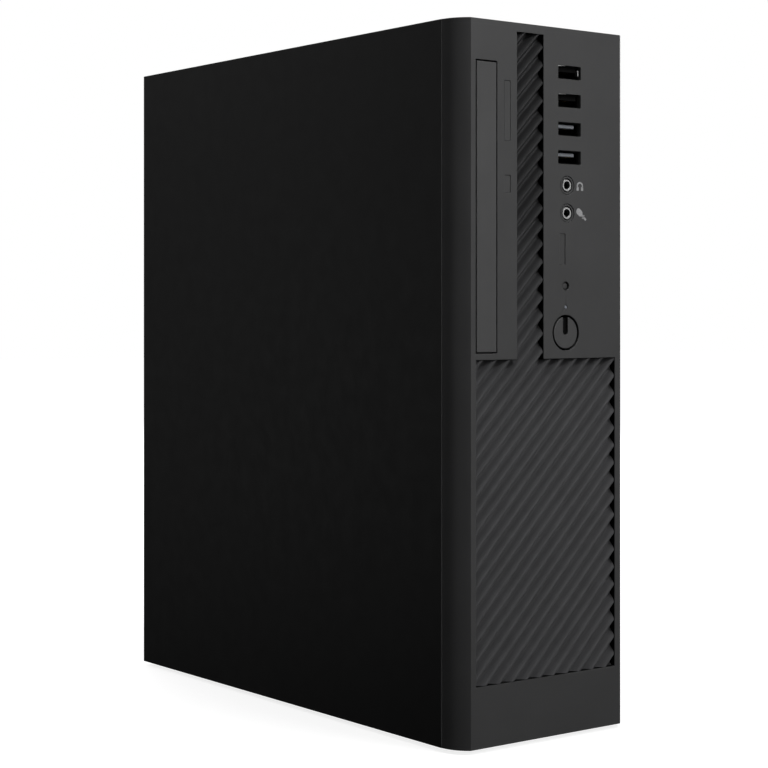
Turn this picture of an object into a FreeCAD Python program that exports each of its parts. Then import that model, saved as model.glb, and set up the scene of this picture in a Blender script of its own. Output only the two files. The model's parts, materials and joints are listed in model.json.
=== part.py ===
"""Slim desktop computer tower, millimetres, +Z up, front face towards -Y.

The origin is on the floor under the middle of the case. Every size lives in one sheet, and each
sub-part is bound to it. Left means -X, the side that the removable cover closes.
"""
import FreeCAD
import Part
import Sketcher
import math
import os
import re

SIZES = {
    # Outer body
    "half_width": 53.5,
    "base_z": 2,
    "top_z": 332,
    "front_y": -143,
    "rear_y": 136,
    "sheet": 0.8,
    "gap": 0.4,
    "fit_gap": 0.2,
    # Front bezel: a shell whose sides curve in to a flat face
    "seam_y": -130.3,
    "face_half": 47,
    "band_radius": 15.66,
    "inner_radius": 13.46,
    "inner_face_half": 44.9,
    "bezel_wall": 2.4,
    "inner_y": -140.6,
    # Case joggle, where the cover's flanges lie over the top and bottom sheets
    "joggle_x": -44.3,
    "flange_width": 8,
    "screw_flange_width": 16,
    "panel_y": 134,
    "front_plate_y": -123,
    "case_front_y": -130.1,
    # Thumbscrews and feet
    "screw_x": -43.2,
    "low_screw_z": 40,
    "high_screw_z": 292,
    "shank_radius": 1.7,
    "shank_hole_radius": 1.76,
    "thumb_radius": 5,
    "thumb_height": 7,
    "screw_reach": 6,
    "foot_radius": 6,
    "foot_x": 32,
    "foot_y": 112,
    # Padlock loop
    "loop_z": 168,
    "loop_thick": 1.6,
    "loop_tall": 11,
    "loop_reach": 8,
    "loop_hole_radius": 2.6,
    # Ribbed panel: an upright strip joined to a wide lower field
    "strip_left": -18.8,
    "strip_right": -2.5,
    "strip_top": 327.9,
    "field_half": 43.3,
    "field_low": 30,
    "field_high": 177.6,
    "rib_pitch": 8.3,
    "crest_y": -142.5,
    "trough_y": -139.4,
    "rib_back_y": -137.4,
    "rib_lip": 1.5,
    "rib_drop_share": 0.3,
    "rib_phase": 6.2,
    # Disc drive behind its door
    "door_left": -43.1,
    "door_right": -31.1,
    "door_low": 180.9,
    "door_high": 313,
    "drive_left": -43.4,
    "drive_right": -30.7,
    "drive_low": 182.95,
    "drive_high": 310.95,
    "drive_front_y": -137,
    "drive_rear_y": -11,
    "drive_wall": 0.6,
    "tray_left": -42.2,
    "tray_right": -33.2,
    "tray_low": 184.6,
    "tray_high": 309.3,
    "tray_front_y": -138.6,
    "tray_rear_y": -14,
    "disc_radius": 60.8,
    "disc_y": -74.5,
    "disc_z": 246.95,
    "well_depth": 2.4,
    "motor_depth": 6.8,
    "motor_pocket_radius": 15.5,
    "motor_radius": 14.5,
    "hub_radius": 7.4,
    "spindle_radius": 1.5,
    "spindle_bore_radius": 1.54,
    "slot_half": 21,
    "slot_near_y": -57,
    "slot_far_y": -19.5,
    "rail_radius": 1,
    "rail_bore_radius": 1.04,
    "rail_spread": 15,
    "sled_half": 20,
    "sled_near_y": -56,
    "sled_far_y": -38,
    "lens_radius": 3,
    # Eject button and drive lamp beside the door
    "eject_left": -26.6,
    "eject_right": -22.8,
    "eject_low": 277.5,
    "eject_high": 305.2,
    "lamp_low": 253.8,
    "lamp_high": 261.9,
    "stem_radius": 1.7,
    # Front sockets, all in one upright column
    "usb_x": 13.9,
    "usb_pitch": 13.27,
    "usb_top_z": 311.5,
    "usb_slot_width": 14.3,
    "usb_slot_height": 6.4,
    "usb_shell_width": 13.2,
    "usb_shell_height": 5.8,
    "usb_shell_wall": 0.35,
    "usb_front_y": -141.3,
    "usb_block_y": -133.4,
    "tongue_width": 11.1,
    "tongue_thick": 2,
    "tongue_rise": 1.4,
    "tongue_front_y": -141,
    "board_front_y": -127,
    "board_thick": 1.6,
    "column_x": 11.5,
    "headphone_z": 258.6,
    "microphone_z": 245.6,
    "jack_x": 12.4,
    "jack_opening_radius": 3.1,
    "jack_front_y": -141.5,
    "jack_ring_radius": 2.9,
    "jack_bore_radius": 1.78,
    "jack_body_half": 4.6,
    "jack_bore_length": 14,
    "bar_left": 7.7,
    "bar_right": 11.2,
    "bar_low": 221.5,
    "bar_high": 235.9,
    "reset_z": 211.5,
    "reset_hole_radius": 2.1,
    "reset_front_y": -142.3,
    "led_z": 201.6,
    "led_radius": 1,
    "power_z": 189.6,
    "power_radius": 7.95,
    "power_hole_radius": 8.4,
    "power_depth": 3.6,
    "groove_width": 2.4,
    "groove_depth": 0.9,
    "collar_radius": 3.2,
    "collar_y": -137.5,
    "switch_half": 3,
    "switch_front_y": -130.5,
    "switch_bore_radius": 1.76,
    "stem_end_y": -130.1,
    "switch_floor_y": -127.6,
    # Rear openings
    "shield_left": 4.4,
    "shield_right": 48.85,
    "shield_low": 163,
    "shield_high": 321.75,
    "shield_thick": 0.5,
    "slot_top_z": 150.4,
    "card_pitch": 20.32,
    "card_window": 14,
    "card_left": -26,
    "card_right": 45,
    "cover_width": 18.4,
    "cover_left": -31,
    "cover_right": 48,
    "cover_tab": 10,
    "vent_radius": 2.4,
    "vent_pitch": 7.5,
    "vent_left": -33,
    "vent_low": 180,
    "vent_columns": 5,
    "vent_rows": 18,
    # Front plate windows
    "window_right": 44,
    "window_height": 78,
    "window_pitch": 92,
    # Brackets
    "bracket_thick": 1,
    "bracket_flange": 14,
    "hard_left": -44,
    "hard_right": -17.9,
    "hard_front_y": -118,
    "hard_rear_y": 29,
    "hard_low": 76.5,
    "hard_high": 178.1,
    # Power supply
    "supply_left": -41,
    "supply_right": 44,
    "supply_low": 2.8,
    "supply_high": 67.8,
    "supply_front_y": -41,
    "supply_window_rim": 3.5,
    "supply_fan_x": 1.5,
    "supply_fan_y": 18,
    "guard_wire": 0.8,
    "guard_rings": 4,
    "inlet_x": -20,
    "inlet_z": 40,
    "inlet_half_width": 13.5,
    "inlet_half_height": 10,
    "inlet_depth": 24,
    "inlet_cavity_half_width": 12,
    "inlet_cavity_half_height": 8,
    "inlet_cavity_depth": 17,
    "pin_width": 2,
    "pin_height": 4,
    "pin_length": 15,
    "pin_spread": 7,
    "pin_rise": 2,
    "rocker_x": 14,
    "rocker_half_width": 4.5,
    "rocker_half_height": 7,
    "rocker_frame_half_width": 7,
    "rocker_frame_half_height": 10.5,
    "rocker_depth": 14,
    "rocker_pivot_y": 131.4,
    "rocker_tilt": 7,
    "rocker_rise": 2,
    "rocker_waist": 0.6,
    "rocker_root": 4,
    "rocker_taper": 1,
    "grille_radius": 1.6,
    "grille_pitch": 5,
    "grille_left": -32,
    "grille_low": 54.5,
    "grille_columns": 14,
    "grille_rows": 3,
    # Main board on the right wall
    "board_left": 45,
    "board_right": 46.6,
    "board_low": 77,
    "board_high": 321,
    "board_near_y": -67,
    "board_far_y": 133,
    "post_radius": 3,
    "post_bore_radius": 1.55,
    "bolt_radius": 1.5,
    "bolt_head_radius": 2.9,
    "bolt_head_height": 2,
    "bolt_reach": 4,
    "bolt_inset": 8,
    "socket_y": 55,
    "socket_z": 250,
    "socket_half": 21,
    "socket_height": 4.5,
    "sink_half": 44,
    "sink_base": 5,
    "sink_top": 12,
    "fin_thick": 0.9,
    "fin_pitch": 3.95,
    "fin_count": 23,
    "memory_near_y": -34,
    "memory_pitch": 11,
    "memory_low": 172,
    "memory_length": 140,
    "memory_slot_thick": 6.5,
    "memory_slot_height": 8,
    "module_thick": 3.2,
    "module_height": 30,
    "module_length": 133.4,
    "card_slot_far_y": 78,
    "long_slot_length": 89,
    "short_slot_length": 25,
    "card_slot_thick": 7.5,
    "card_slot_height": 11,
    "port_front_y": 116,
    "port_rear_y": 135.2,
    "port_usb_z": 302,
    "port_usb_drop": 20,
    "port_usb_tall": 14.5,
    "port_usb_rise": 16,
    "port_video_z": 248,
    "port_video_tall": 31,
    "port_video_rise": 13,
    "port_network_z": 214,
    "port_network_tall": 16,
    "port_network_rise": 30,
    "port_sound_z": 184,
    "port_sound_tall": 13,
    "port_sound_rise": 34,
    "chipset_half": 17,
    "chipset_y": 5,
    "chipset_z": 122,
    "chipset_height": 9,
    "power_plug_y": -60,
    "power_plug_z": 250,
    "power_plug_length": 52,
    "power_plug_width": 10,
    "power_plug_height": 13,
    # Inner cables
    "bundle_radius": 3.5,
    "lead_radius": 2,
    # Fans
    "cooler_fan_size": 92,
    "supply_fan_size": 80,
    "fan_depth": 25,
    "supply_fan_depth": 20,
    "fan_rim": 2.5,
    "fan_tip_gap": 1.2,
    "fan_hub_radius": 19,
    "fan_plate": 2.5,
    "fan_blade_thick": 1.6,
    "fan_blade_root": 38,
    "fan_blade_tip": 28,
    "fan_blade_count": 7,
    "fan_screw_radius": 2.1,
    "fan_screw_inset": 4.9,
}

doc = FreeCAD.newDocument("desktop_tower")
dim = doc.addObject("Spreadsheet::Sheet", "dim")
for row, (alias, value) in enumerate(SIZES.items(), start=1):
    dim.set(f"A{row}", alias)
    dim.set(f"B{row}", str(value))
    dim.setAlias(f"B{row}", alias)
doc.recompute()

subparts = []


# ---- Helpers -------------------------------------------------------------------------------------

def size(alias):
    """Read one size from the sheet."""
    return float(dim.get(alias))


def formula(text):
    """Point every size named in a formula at its cell in the sheet."""
    return re.sub(r"[a-z_]+", lambda word: f"dim.{word[0]}" if word[0] in SIZES else word[0], text)


def bind(item, **formulas):
    """Bind properties of an object; base_x, base_y and base_z are its place."""
    for name, text in formulas.items():
        path = name.replace("base_", "Placement.Base.")
        item.setExpression(path, formula(text))
    return item


def keep(item, label):
    """Make an object one of the sub-parts, under its own label."""
    item.Label = label
    subparts.append(item)
    return item


def block(name, x, y, z):
    """Box between the low and high formulas of each axis."""
    box = doc.addObject("Part::Box", name)
    bind(box, base_x=x[0], base_y=y[0], base_z=z[0])
    lengths = [f"({high}) - ({low})" for low, high in (x, y, z)]
    return bind(box, Length=lengths[0], Width=lengths[1], Height=lengths[2])


AXES = {"x": FreeCAD.Vector(1, 0, 0), "y": FreeCAD.Vector(0, 1, 0), "z": FreeCAD.Vector(0, 0, 1)}


def rod(name, axis, start, radius, length):
    """Cylinder that starts at a point and runs along an axis."""
    cylinder = doc.addObject("Part::Cylinder", name)
    turn = FreeCAD.Rotation(AXES["z"], AXES[axis])
    cylinder.Placement = FreeCAD.Placement(FreeCAD.Vector(), turn)
    bind(cylinder, Radius=radius, Height=length)
    return bind(cylinder, base_x=start[0], base_y=start[1], base_z=start[2])


def around(centre, half):
    """Low and high formulas around a centre."""
    return f"{centre} - {half}", f"{centre} + {half}"


def fuse(name, *pieces):
    """Union of several objects."""
    union = doc.addObject("Part::MultiFuse", name)
    union.Shapes = list(pieces)
    return union


def cut(name, base, *tools):
    """A base with one or more tools taken away."""
    result = doc.addObject("Part::Cut", name)
    result.Base = base
    result.Tool = tools[0] if len(tools) == 1 else fuse(f"{name}_tools", *tools)
    return result


def group(name, *pieces):
    """Several separate solids under one name."""
    several = doc.addObject("Part::Compound", name)
    several.Links = list(pieces)
    return several


def sketch_on(body, role, distance="0"):
    """Sketch on one of a body's own planes, moved along the plane's normal."""
    plane = next(item for item in body.Origin.OriginFeatures if item.Role == role)
    sketch = body.newObject("Sketcher::SketchObject", f"{body.Name}_sketch")
    sketch.AttachmentSupport = [(plane, "")]
    sketch.MapMode = "FlatFace"
    sketch.setExpression("AttachmentOffset.Base.z", formula(distance))
    return sketch


def drive(sketch, kind, geometry, text, first_guess=1.0):
    """Add a sketch dimension and bind it to a formula."""
    index = sketch.addConstraint(Sketcher.Constraint(kind, *geometry, first_guess))
    sketch.setExpression(f"Constraints[{index}]", formula(text))


def locate(sketch, point, across, up, first_guess=(1.0, 1.0)):
    """Fix a sketch point by its two coordinates."""
    drive(sketch, "DistanceX", (-1, 1, *point), across, first_guess[0])
    drive(sketch, "DistanceY", (-1, 1, *point), up, first_guess[1])


def outline(sketch, corners):
    """Closed outline of straight sides through a list of corner formulas."""
    first = sketch.GeometryCount
    count = len(corners)
    turns = [2 * math.pi * corner / count for corner in range(count)]
    points = [FreeCAD.Vector(math.cos(turn), math.sin(turn), 0) for turn in turns]
    for side in range(count):
        sketch.addGeometry(Part.LineSegment(points[side], points[(side + 1) % count]), False)
    for side, corner in enumerate(corners):
        following = first + (side + 1) % count
        sketch.addConstraint(Sketcher.Constraint("Coincident", first + side, 2, following, 1))
        locate(sketch, (first + side, 1), *corner)


def rectangle(sketch, across, up):
    """Rectangle between the low and high formulas of the sketch's two axes."""
    first = sketch.GeometryCount
    corners = [FreeCAD.Vector(*corner, 0) for corner in ((0, 0), (1, 0), (1, 1), (0, 1))]
    for side in range(4):
        sketch.addGeometry(Part.LineSegment(corners[side], corners[(side + 1) % 4]), False)
    for side in range(4):
        sketch.addConstraint(Sketcher.Constraint("Coincident", first + side, 2, first + (side + 1) % 4, 1))
        direction = "Vertical" if side % 2 else "Horizontal"
        sketch.addConstraint(Sketcher.Constraint(direction, first + side))
    locate(sketch, (first, 1), across[0], up[0])
    locate(sketch, (first + 2, 1), across[1], up[1])


def hole(sketch, across, up, radius):
    """Circle in a sketch."""
    index = sketch.addGeometry(Part.Circle(FreeCAD.Vector(), AXES["z"], 1), False)
    locate(sketch, (index, 3), across, up)
    drive(sketch, "Radius", (index,), radius)


def feature(body, kind, sketch, length, backwards=False):
    """Pad or pocket of a sketch along its normal, or against it."""
    item = body.newObject(f"PartDesign::{kind}", f"{body.Name}_{kind.lower()}")
    item.Profile = sketch
    item.Reversed = backwards
    bind(item, Length=length)
    body.Tip = item
    return item


def new_body(name):
    """Empty body that becomes a sub-part."""
    return keep(doc.addObject("PartDesign::Body", name), name)


# ---- Front bezel ---------------------------------------------------------------------------------

def band_outline(sketch, half, radius, face_half, face_y):
    """Plan of the bezel: straight back and face, joined by a convex arc on each side."""
    back, face = size("seam_y"), size(face_y)
    wide, bulge = size("half_width"), size(radius)
    if half != "half_width":
        wide -= size("bezel_wall")
    narrow = size(face_half)
    centre = wide - bulge
    turn = math.acos((narrow - centre) / bulge)
    corners = [(wide, back), (-wide, back), (-narrow, face), (narrow, face)]
    points = [FreeCAD.Vector(*corner, 0) for corner in corners]
    sketch.addGeometry(Part.LineSegment(points[0], points[1]), False)
    left = Part.Circle(FreeCAD.Vector(-centre, back, 0), AXES["z"], bulge)
    sketch.addGeometry(Part.ArcOfCircle(left, math.pi, math.pi + turn), False)
    sketch.addGeometry(Part.LineSegment(points[2], points[3]), False)
    right = Part.Circle(FreeCAD.Vector(centre, back, 0), AXES["z"], bulge)
    sketch.addGeometry(Part.ArcOfCircle(right, -turn, 0), False)
    for ends in ((0, 2, 1, 1), (1, 2, 2, 1), (2, 2, 3, 1), (3, 2, 0, 1)):
        sketch.addConstraint(Sketcher.Constraint("Coincident", *ends))
    locate(sketch, (0, 1), half, "seam_y", corners[0])
    locate(sketch, (0, 2), f"-({half})", "seam_y", corners[1])
    locate(sketch, (2, 1), f"-{face_half}", face_y, corners[2])
    locate(sketch, (2, 2), face_half, face_y, corners[3])
    for arc in (1, 3):
        drive(sketch, "Radius", (arc,), radius, bulge)


RIB_CORNERS = [
    ("strip_left", "strip_top"), ("strip_left", "field_high"), ("-field_half", "field_high"),
    ("-field_half", "field_low"), ("field_half", "field_low"), ("field_half", "field_high"),
    ("strip_right", "field_high"), ("strip_right", "strip_top"),
]


def front_bezel():
    body = new_body("front_bezel")
    outer = sketch_on(body, "XY_Plane", "base_z")
    band_outline(outer, "half_width", "band_radius", "face_half", "front_y")
    feature(body, "Pad", outer, "top_z - base_z")
    inner = sketch_on(body, "XY_Plane", "top_z - bezel_wall")
    band_outline(inner, "half_width - bezel_wall", "inner_radius", "inner_face_half", "inner_y")
    feature(body, "Pocket", inner, "top_z - base_z - 2 * bezel_wall")
    openings = sketch_on(body, "XZ_Plane", "-front_y")
    outline(openings, RIB_CORNERS)
    rectangle(openings, ("door_left", "door_right"), ("door_low", "door_high"))
    rectangle(openings, ("eject_left", "eject_right"), ("eject_low", "eject_high"))
    rectangle(openings, ("eject_left", "eject_right"), ("lamp_low", "lamp_high"))
    rectangle(openings, ("bar_left", "bar_right"), ("bar_low", "bar_high"))
    for port in range(4):
        rectangle(openings, *port_span(port, "usb_slot_width", "usb_slot_height"))
    for height in ("headphone_z", "microphone_z"):
        hole(openings, "jack_x", height, "jack_opening_radius")
    hole(openings, "column_x", "reset_z", "reset_hole_radius")
    hole(openings, "column_x", "led_z", "led_radius")
    hole(openings, "column_x", "power_z", "power_hole_radius")
    feature(body, "Pocket", openings, "2 * bezel_wall")


def port_span(port, width, height, rise="0"):
    """Low and high formulas, across and up, of something centred on one of the USB sockets."""
    middle = f"usb_top_z - {port} * usb_pitch + {rise}"
    across = (f"usb_x - {width} / 2", f"usb_x + {width} / 2")
    return across, (f"{middle} - {height} / 2", f"{middle} + {height} / 2")


def signed_size(text):
    """Value of a size that may carry a minus sign."""
    return -size(text[1:]) if text.startswith("-") else size(text)


def prism(face, low_y, high_y):
    """Upright face in the XZ plane, made solid between two depths."""
    moved = face.translated(FreeCAD.Vector(0, low_y, 0))
    return moved.extrude(FreeCAD.Vector(0, high_y - low_y, 0))


def rib_panel():
    """Diagonal sawtooth ribs over the strip and the field, with a rim behind the bezel's face."""
    corners = [FreeCAD.Vector(signed_size(x), 0, signed_size(z)) for x, z in RIB_CORNERS]
    field = Part.Face(Part.makePolygon(corners + corners[:1]))
    inside = field.makeOffset2D(-size("fit_gap"))
    pitch, back = size("rib_pitch"), size("rib_back_y")
    lowest = size("field_low") - size("field_half")
    highest = size("strip_top") - size("strip_left")
    trough = size("rib_phase") - pitch * math.ceil((size("rib_phase") - lowest) / pitch + 1)
    profile = []
    while trough < highest + pitch:
        profile += [(trough, size("trough_y")), (trough + size("rib_drop_share") * pitch, size("crest_y"))]
        trough += pitch
    profile += [(profile[-1][0], back), (profile[0][0], back)]
    reach = size("top_z")
    points = [FreeCAD.Vector(-u / 2 - reach, y, u / 2 - reach) for u, y in profile]
    ribs = Part.Face(Part.makePolygon(points + points[:1])).extrude(FreeCAD.Vector(3 * reach, 0, 3 * reach))
    core = ribs.common(prism(inside, size("crest_y"), back))
    outside = field.makeOffset2D(size("rib_lip"), 2)
    rim = prism(outside, size("inner_y"), back).cut(prism(inside, size("inner_y"), back))
    panel = doc.addObject("Part::Feature", "rib_panel")
    panel.Shape = core.fuse(rim).removeSplitter()
    keep(panel, "rib_panel")


# ---- Front buttons, lamps and sockets ------------------------------------------------------------

def front_lamps():
    """Clear pieces that fill small windows in the bezel."""
    lamp_x = ("eject_left + fit_gap / 2", "eject_right - fit_gap / 2")
    lamp_z = ("lamp_low + fit_gap / 2", "lamp_high - fit_gap / 2")
    keep(block("disc_lamp", lamp_x, ("crest_y", "collar_y"), lamp_z), "disc_lamp")
    bar_x = ("bar_left + fit_gap / 2", "bar_right - fit_gap / 2")
    bar_z = ("bar_low + fit_gap / 2", "bar_high - fit_gap / 2")
    keep(block("activity_lamp", bar_x, ("crest_y", "board_front_y"), bar_z), "activity_lamp")
    start = ("column_x", "crest_y", "led_z")
    keep(rod("power_lamp", "y", start, "led_radius - fit_gap / 4", "board_front_y - crest_y"), "power_lamp")


def eject_button():
    cap_x = ("eject_left + fit_gap", "eject_right - fit_gap")
    cap_z = ("eject_low + fit_gap", "eject_high - fit_gap")
    cap = block("eject_cap", cap_x, ("front_y + fit_gap", "inner_y"), cap_z)
    lip_x = ("eject_left + fit_gap - sheet", "eject_right - fit_gap + sheet")
    lip_z = ("eject_low + fit_gap - sheet", "eject_high - fit_gap + sheet")
    lip = block("eject_lip", lip_x, ("inner_y", "inner_y + sheet"), lip_z)
    middle = ("(eject_left + eject_right) / 2", "inner_y + sheet", "(eject_low + eject_high) / 2")
    stem = rod("eject_stem", "y", middle, "stem_radius", "stem_end_y - inner_y - sheet")
    keep(fuse("eject_button", cap, lip, stem), "eject_button")


def power_button():
    """Round cap with a groove from its top rim to its middle, on a stem with a stop collar."""
    cap = rod("power_cap", "y", ("column_x", "front_y + fit_gap", "power_z"), "power_radius", "power_depth")
    groove_x = ("column_x - groove_width / 2", "column_x + groove_width / 2")
    groove_y = ("front_y", "front_y + fit_gap + groove_depth")
    groove = block("power_groove", groove_x, groove_y, ("power_z", "power_z + power_radius"))
    grooved = cut("power_cap_grooved", cap, groove)
    start_y = "front_y + fit_gap + power_depth"
    stem = rod("power_stem", "y", ("column_x", start_y, "power_z"), "stem_radius",
               f"stem_end_y - ({start_y})")
    collar = rod("power_collar", "y", ("column_x", "collar_y", "power_z"), "collar_radius", "sheet")
    keep(fuse("power_button", grooved, stem, collar), "power_button")


def reset_button():
    length = "stem_end_y - reset_front_y"
    stem = rod("reset_stem", "y", ("column_x", "reset_front_y", "reset_z"), "stem_radius", length)
    collar = rod("reset_collar", "y", ("column_x", "collar_y", "reset_z"), "collar_radius", "sheet")
    keep(fuse("reset_button", stem, collar), "reset_button")


def switch_housings():
    """Two push switches on the socket board; each button's stem ends inside one."""
    housings = []
    for height in ("power_z", "reset_z"):
        x, z = around("column_x", "switch_half"), around(height, "switch_half")
        shell = block("switch_shell", x, ("switch_front_y", "board_front_y"), z)
        start = ("column_x", "switch_front_y", height)
        bore = rod("switch_bore", "y", start, "switch_bore_radius", "switch_floor_y - switch_front_y")
        housings.append(cut("switch_housing", shell, bore))
    keep(group("switch_housings", *housings), "switch_housings")


def socket_board():
    x = ("column_x - 2 * switch_half", "usb_x + usb_shell_width / 2 + switch_half")
    z = ("power_z - 2 * switch_half", "usb_top_z + 2 * switch_half")
    keep(block("socket_board", x, ("board_front_y", "board_front_y + board_thick"), z), "socket_board")


def usb_sockets():
    """Steel shells, and insulating blocks with a tongue in the upper half of each mouth."""
    shells, tongues = [], []
    inside = "(usb_shell_width - 2 * usb_shell_wall)"
    inside_height = "(usb_shell_height - 2 * usb_shell_wall)"
    for port in range(4):
        across, up = port_span(port, "usb_shell_width", "usb_shell_height")
        outer = block("usb_outer", across, ("usb_front_y", "board_front_y"), up)
        across, up = port_span(port, inside, inside_height)
        mouth = block("usb_mouth", across, ("usb_front_y", "board_front_y"), up)
        shells.append(cut("usb_shell", outer, mouth))
        root = block("usb_root", across, ("usb_block_y", "board_front_y"), up)
        across, up = port_span(port, "tongue_width", "tongue_thick", "tongue_rise")
        blade = block("usb_blade", across, ("tongue_front_y", "usb_block_y"), up)
        tongues.append(fuse("usb_tongue", root, blade))
    keep(group("usb_shells", *shells), "usb_shells")
    keep(group("upper_usb_tongues", *tongues[:2]), "upper_usb_tongues")
    keep(group("lower_usb_tongues", *tongues[2:]), "lower_usb_tongues")


def audio_jack(name, height):
    """Round sleeve on a square body, with a blind bore for a plug."""
    start = ("jack_x", "jack_front_y", height)
    sleeve = rod("jack_sleeve", "y", start, "jack_ring_radius", "collar_y - jack_front_y")
    x, z = around("jack_x", "jack_body_half"), around(height, "jack_body_half")
    body = block("jack_body", x, ("collar_y", "board_front_y"), z)
    solid = fuse("jack_solid", sleeve, body)
    bore = rod("jack_bore", "y", start, "jack_bore_radius", "jack_bore_length")
    keep(cut(name, solid, bore), name)


# ---- Case ----------------------------------------------------------------------------------------

def case_sheets():
    """Top and bottom sheets, stepped inwards where the cover's flanges lie over them."""
    levels = {
        "case_top": ("top_z", -1),
        "case_bottom": ("base_z", 1),
    }
    for name, (outer, inwards) in levels.items():
        body = new_body(name)
        sketch = sketch_on(body, "XZ_Plane", "-case_front_y")
        step = f"{inwards} * (sheet + gap)"
        thick = f"{inwards} * sheet"
        left, edge = "sheet + gap - half_width", "joggle_x - sheet"
        outline(sketch, [
            (left, f"{outer} + {step}"), (edge, f"{outer} + {step}"), (edge, outer),
            ("half_width", outer), ("half_width", f"{outer} + {thick}"),
            ("joggle_x", f"{outer} + {thick}"), ("joggle_x", f"{outer} + {step} + {thick}"),
            (left, f"{outer} + {step} + {thick}"),
        ])
        feature(body, "Pad", sketch, "panel_y + sheet - case_front_y", True)


def case_wall():
    """Right wall, which also carries the main board."""
    z = ("base_z + sheet", "top_z - sheet")
    wall = block("case_wall", ("half_width - sheet", "half_width"), ("case_front_y", "panel_y + sheet"), z)
    keep(wall, "case_wall")


def plate_outline(sketch):
    """Outline of an upright plate that fits inside the stepped case."""
    left, right = "sheet + gap - half_width", "half_width - sheet"
    near, far = "base_z + 2 * sheet + gap", "base_z + sheet"
    high, higher = "top_z - 2 * sheet - gap", "top_z - sheet"
    outline(sketch, [
        (left, near), ("joggle_x", near), ("joggle_x", far), (right, far),
        (right, higher), ("joggle_x", higher), ("joggle_x", high), (left, high),
    ])


def front_plate():
    """Steel plate behind the bezel, open for the disc drive and for air."""
    body = new_body("front_plate")
    sketch = sketch_on(body, "XZ_Plane", "-front_plate_y")
    plate_outline(sketch)
    rectangle(sketch, ("drive_left - gap", "drive_right + gap"), ("drive_low - gap", "drive_high + gap"))
    for window in range(3):
        low = f"field_low + {window} * window_pitch"
        rectangle(sketch, ("drive_right + 2 * bracket_flange", "window_right"),
                  (low, f"{low} + window_height"))
    feature(body, "Pad", sketch, "sheet")


def slot_height(card):
    """Height of one expansion card, counted down from the top one."""
    return f"(slot_top_z - {card} * card_pitch)"


def rear_panel():
    body = new_body("rear_panel")
    sketch = sketch_on(body, "XZ_Plane", "-panel_y")
    plate_outline(sketch)
    rectangle(sketch, ("shield_left", "shield_right"), ("shield_low", "shield_high"))
    rim = "supply_window_rim"
    rectangle(sketch, (f"supply_left + {rim}", f"supply_right - {rim}"),
              (f"supply_low + {rim}", f"supply_high - {rim}"))
    for card in range(4):
        middle = slot_height(card)
        rectangle(sketch, ("card_left", "card_right"),
                  (f"{middle} - card_window / 2", f"{middle} + card_window / 2"))
    for height in ("low_screw_z", "high_screw_z"):
        hole(sketch, "screw_x", height, "shank_hole_radius")
    feature(body, "Pad", sketch, "sheet", True)
    vents = sketch_on(body, "XZ_Plane", "-panel_y")
    hole(vents, "vent_left", "vent_low", "vent_radius")
    first_vent = feature(body, "Pocket", vents, "sheet")
    rows = body.newObject("PartDesign::LinearPattern", "vent_pattern")
    rows.Originals = [first_vent]
    rows.Direction = (vents, ["H_Axis"])
    rows.Direction2 = (vents, ["V_Axis"])
    rows.Mode = "Spacing"
    rows.Mode2 = "Spacing"
    bind(rows, Offset="vent_pitch", Occurrences="vent_columns", Offset2="vent_pitch",
         Occurrences2="vent_rows")
    body.Tip = rows


def side_cover():
    """Left cover: a plate with top and bottom flanges and a rear flange for the thumbscrews."""
    body = new_body("side_cover")
    sketch = sketch_on(body, "XZ_Plane", "-case_front_y")
    inner, edge = "sheet - half_width", "flange_width - half_width"
    outline(sketch, [
        ("-half_width", "base_z"), (edge, "base_z"), (edge, "base_z + sheet"), (inner, "base_z + sheet"),
        (inner, "top_z - sheet"), (edge, "top_z - sheet"), (edge, "top_z"), ("-half_width", "top_z"),
    ])
    feature(body, "Pad", sketch, "rear_y - case_front_y", True)
    back = sketch_on(body, "XZ_Plane", "-rear_y")
    rectangle(back, ("-half_width", "screw_flange_width - half_width"), ("base_z", "top_z"))
    for height in ("low_screw_z", "high_screw_z"):
        hole(back, "screw_x", height, "shank_hole_radius")
    rectangle(back, around("screw_x", "(loop_thick / 2 + gap)"), around("loop_z", "(loop_tall / 2 + gap)"))
    feature(body, "Pad", back, "sheet")


def cover_screws():
    """Two thumbscrews that pass through the cover's rear flange into the rear panel."""
    screws = []
    for height in ("low_screw_z", "high_screw_z"):
        start = ("screw_x", "rear_y - screw_reach", height)
        shank = rod("thumb_shank", "y", start, "shank_radius", "screw_reach")
        head = rod("thumb_head", "y", ("screw_x", "rear_y", height), "thumb_radius", "thumb_height")
        screws.append(fuse("thumb_screw", shank, head))
    keep(group("cover_screws", *screws), "cover_screws")


def padlock_loop():
    """Drilled tab that stands out of the rear panel through the cover's flange."""
    x, z = around("screw_x", "loop_thick / 2"), around("loop_z", "loop_tall / 2")
    tab = block("loop_tab", x, ("panel_y + sheet", "panel_y + sheet + loop_reach"), z)
    start = ("screw_x - loop_thick", "panel_y + sheet + loop_reach / 2 + sheet", "loop_z")
    drill = rod("loop_hole", "x", start, "loop_hole_radius", "2 * loop_thick")
    keep(cut("padlock_loop", tab, drill), "padlock_loop")


def feet():
    pads = []
    for side in ("-foot_x", "foot_x"):
        for depth in ("-foot_y", "foot_y"):
            pads.append(rod("foot", "z", (side, depth, "0"), "foot_radius", "base_z"))
    keep(group("feet", *pads), "feet")


def slot_covers():
    """Four blank plates behind the rear panel's card windows, each with a folded tab."""
    plates = []
    for card in range(4):
        middle = slot_height(card)
        z = (f"{middle} - cover_width / 2", f"{middle} + cover_width / 2")
        plate = block("blank_plate", ("cover_left", "cover_right"), ("panel_y - sheet", "panel_y"), z)
        tab = block("blank_tab", ("cover_left", "cover_left + sheet"),
                    ("panel_y - cover_tab", "panel_y - sheet"), z)
        plates.append(fuse("slot_cover", plate, tab))
    keep(group("slot_covers", *plates), "slot_covers")


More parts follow.
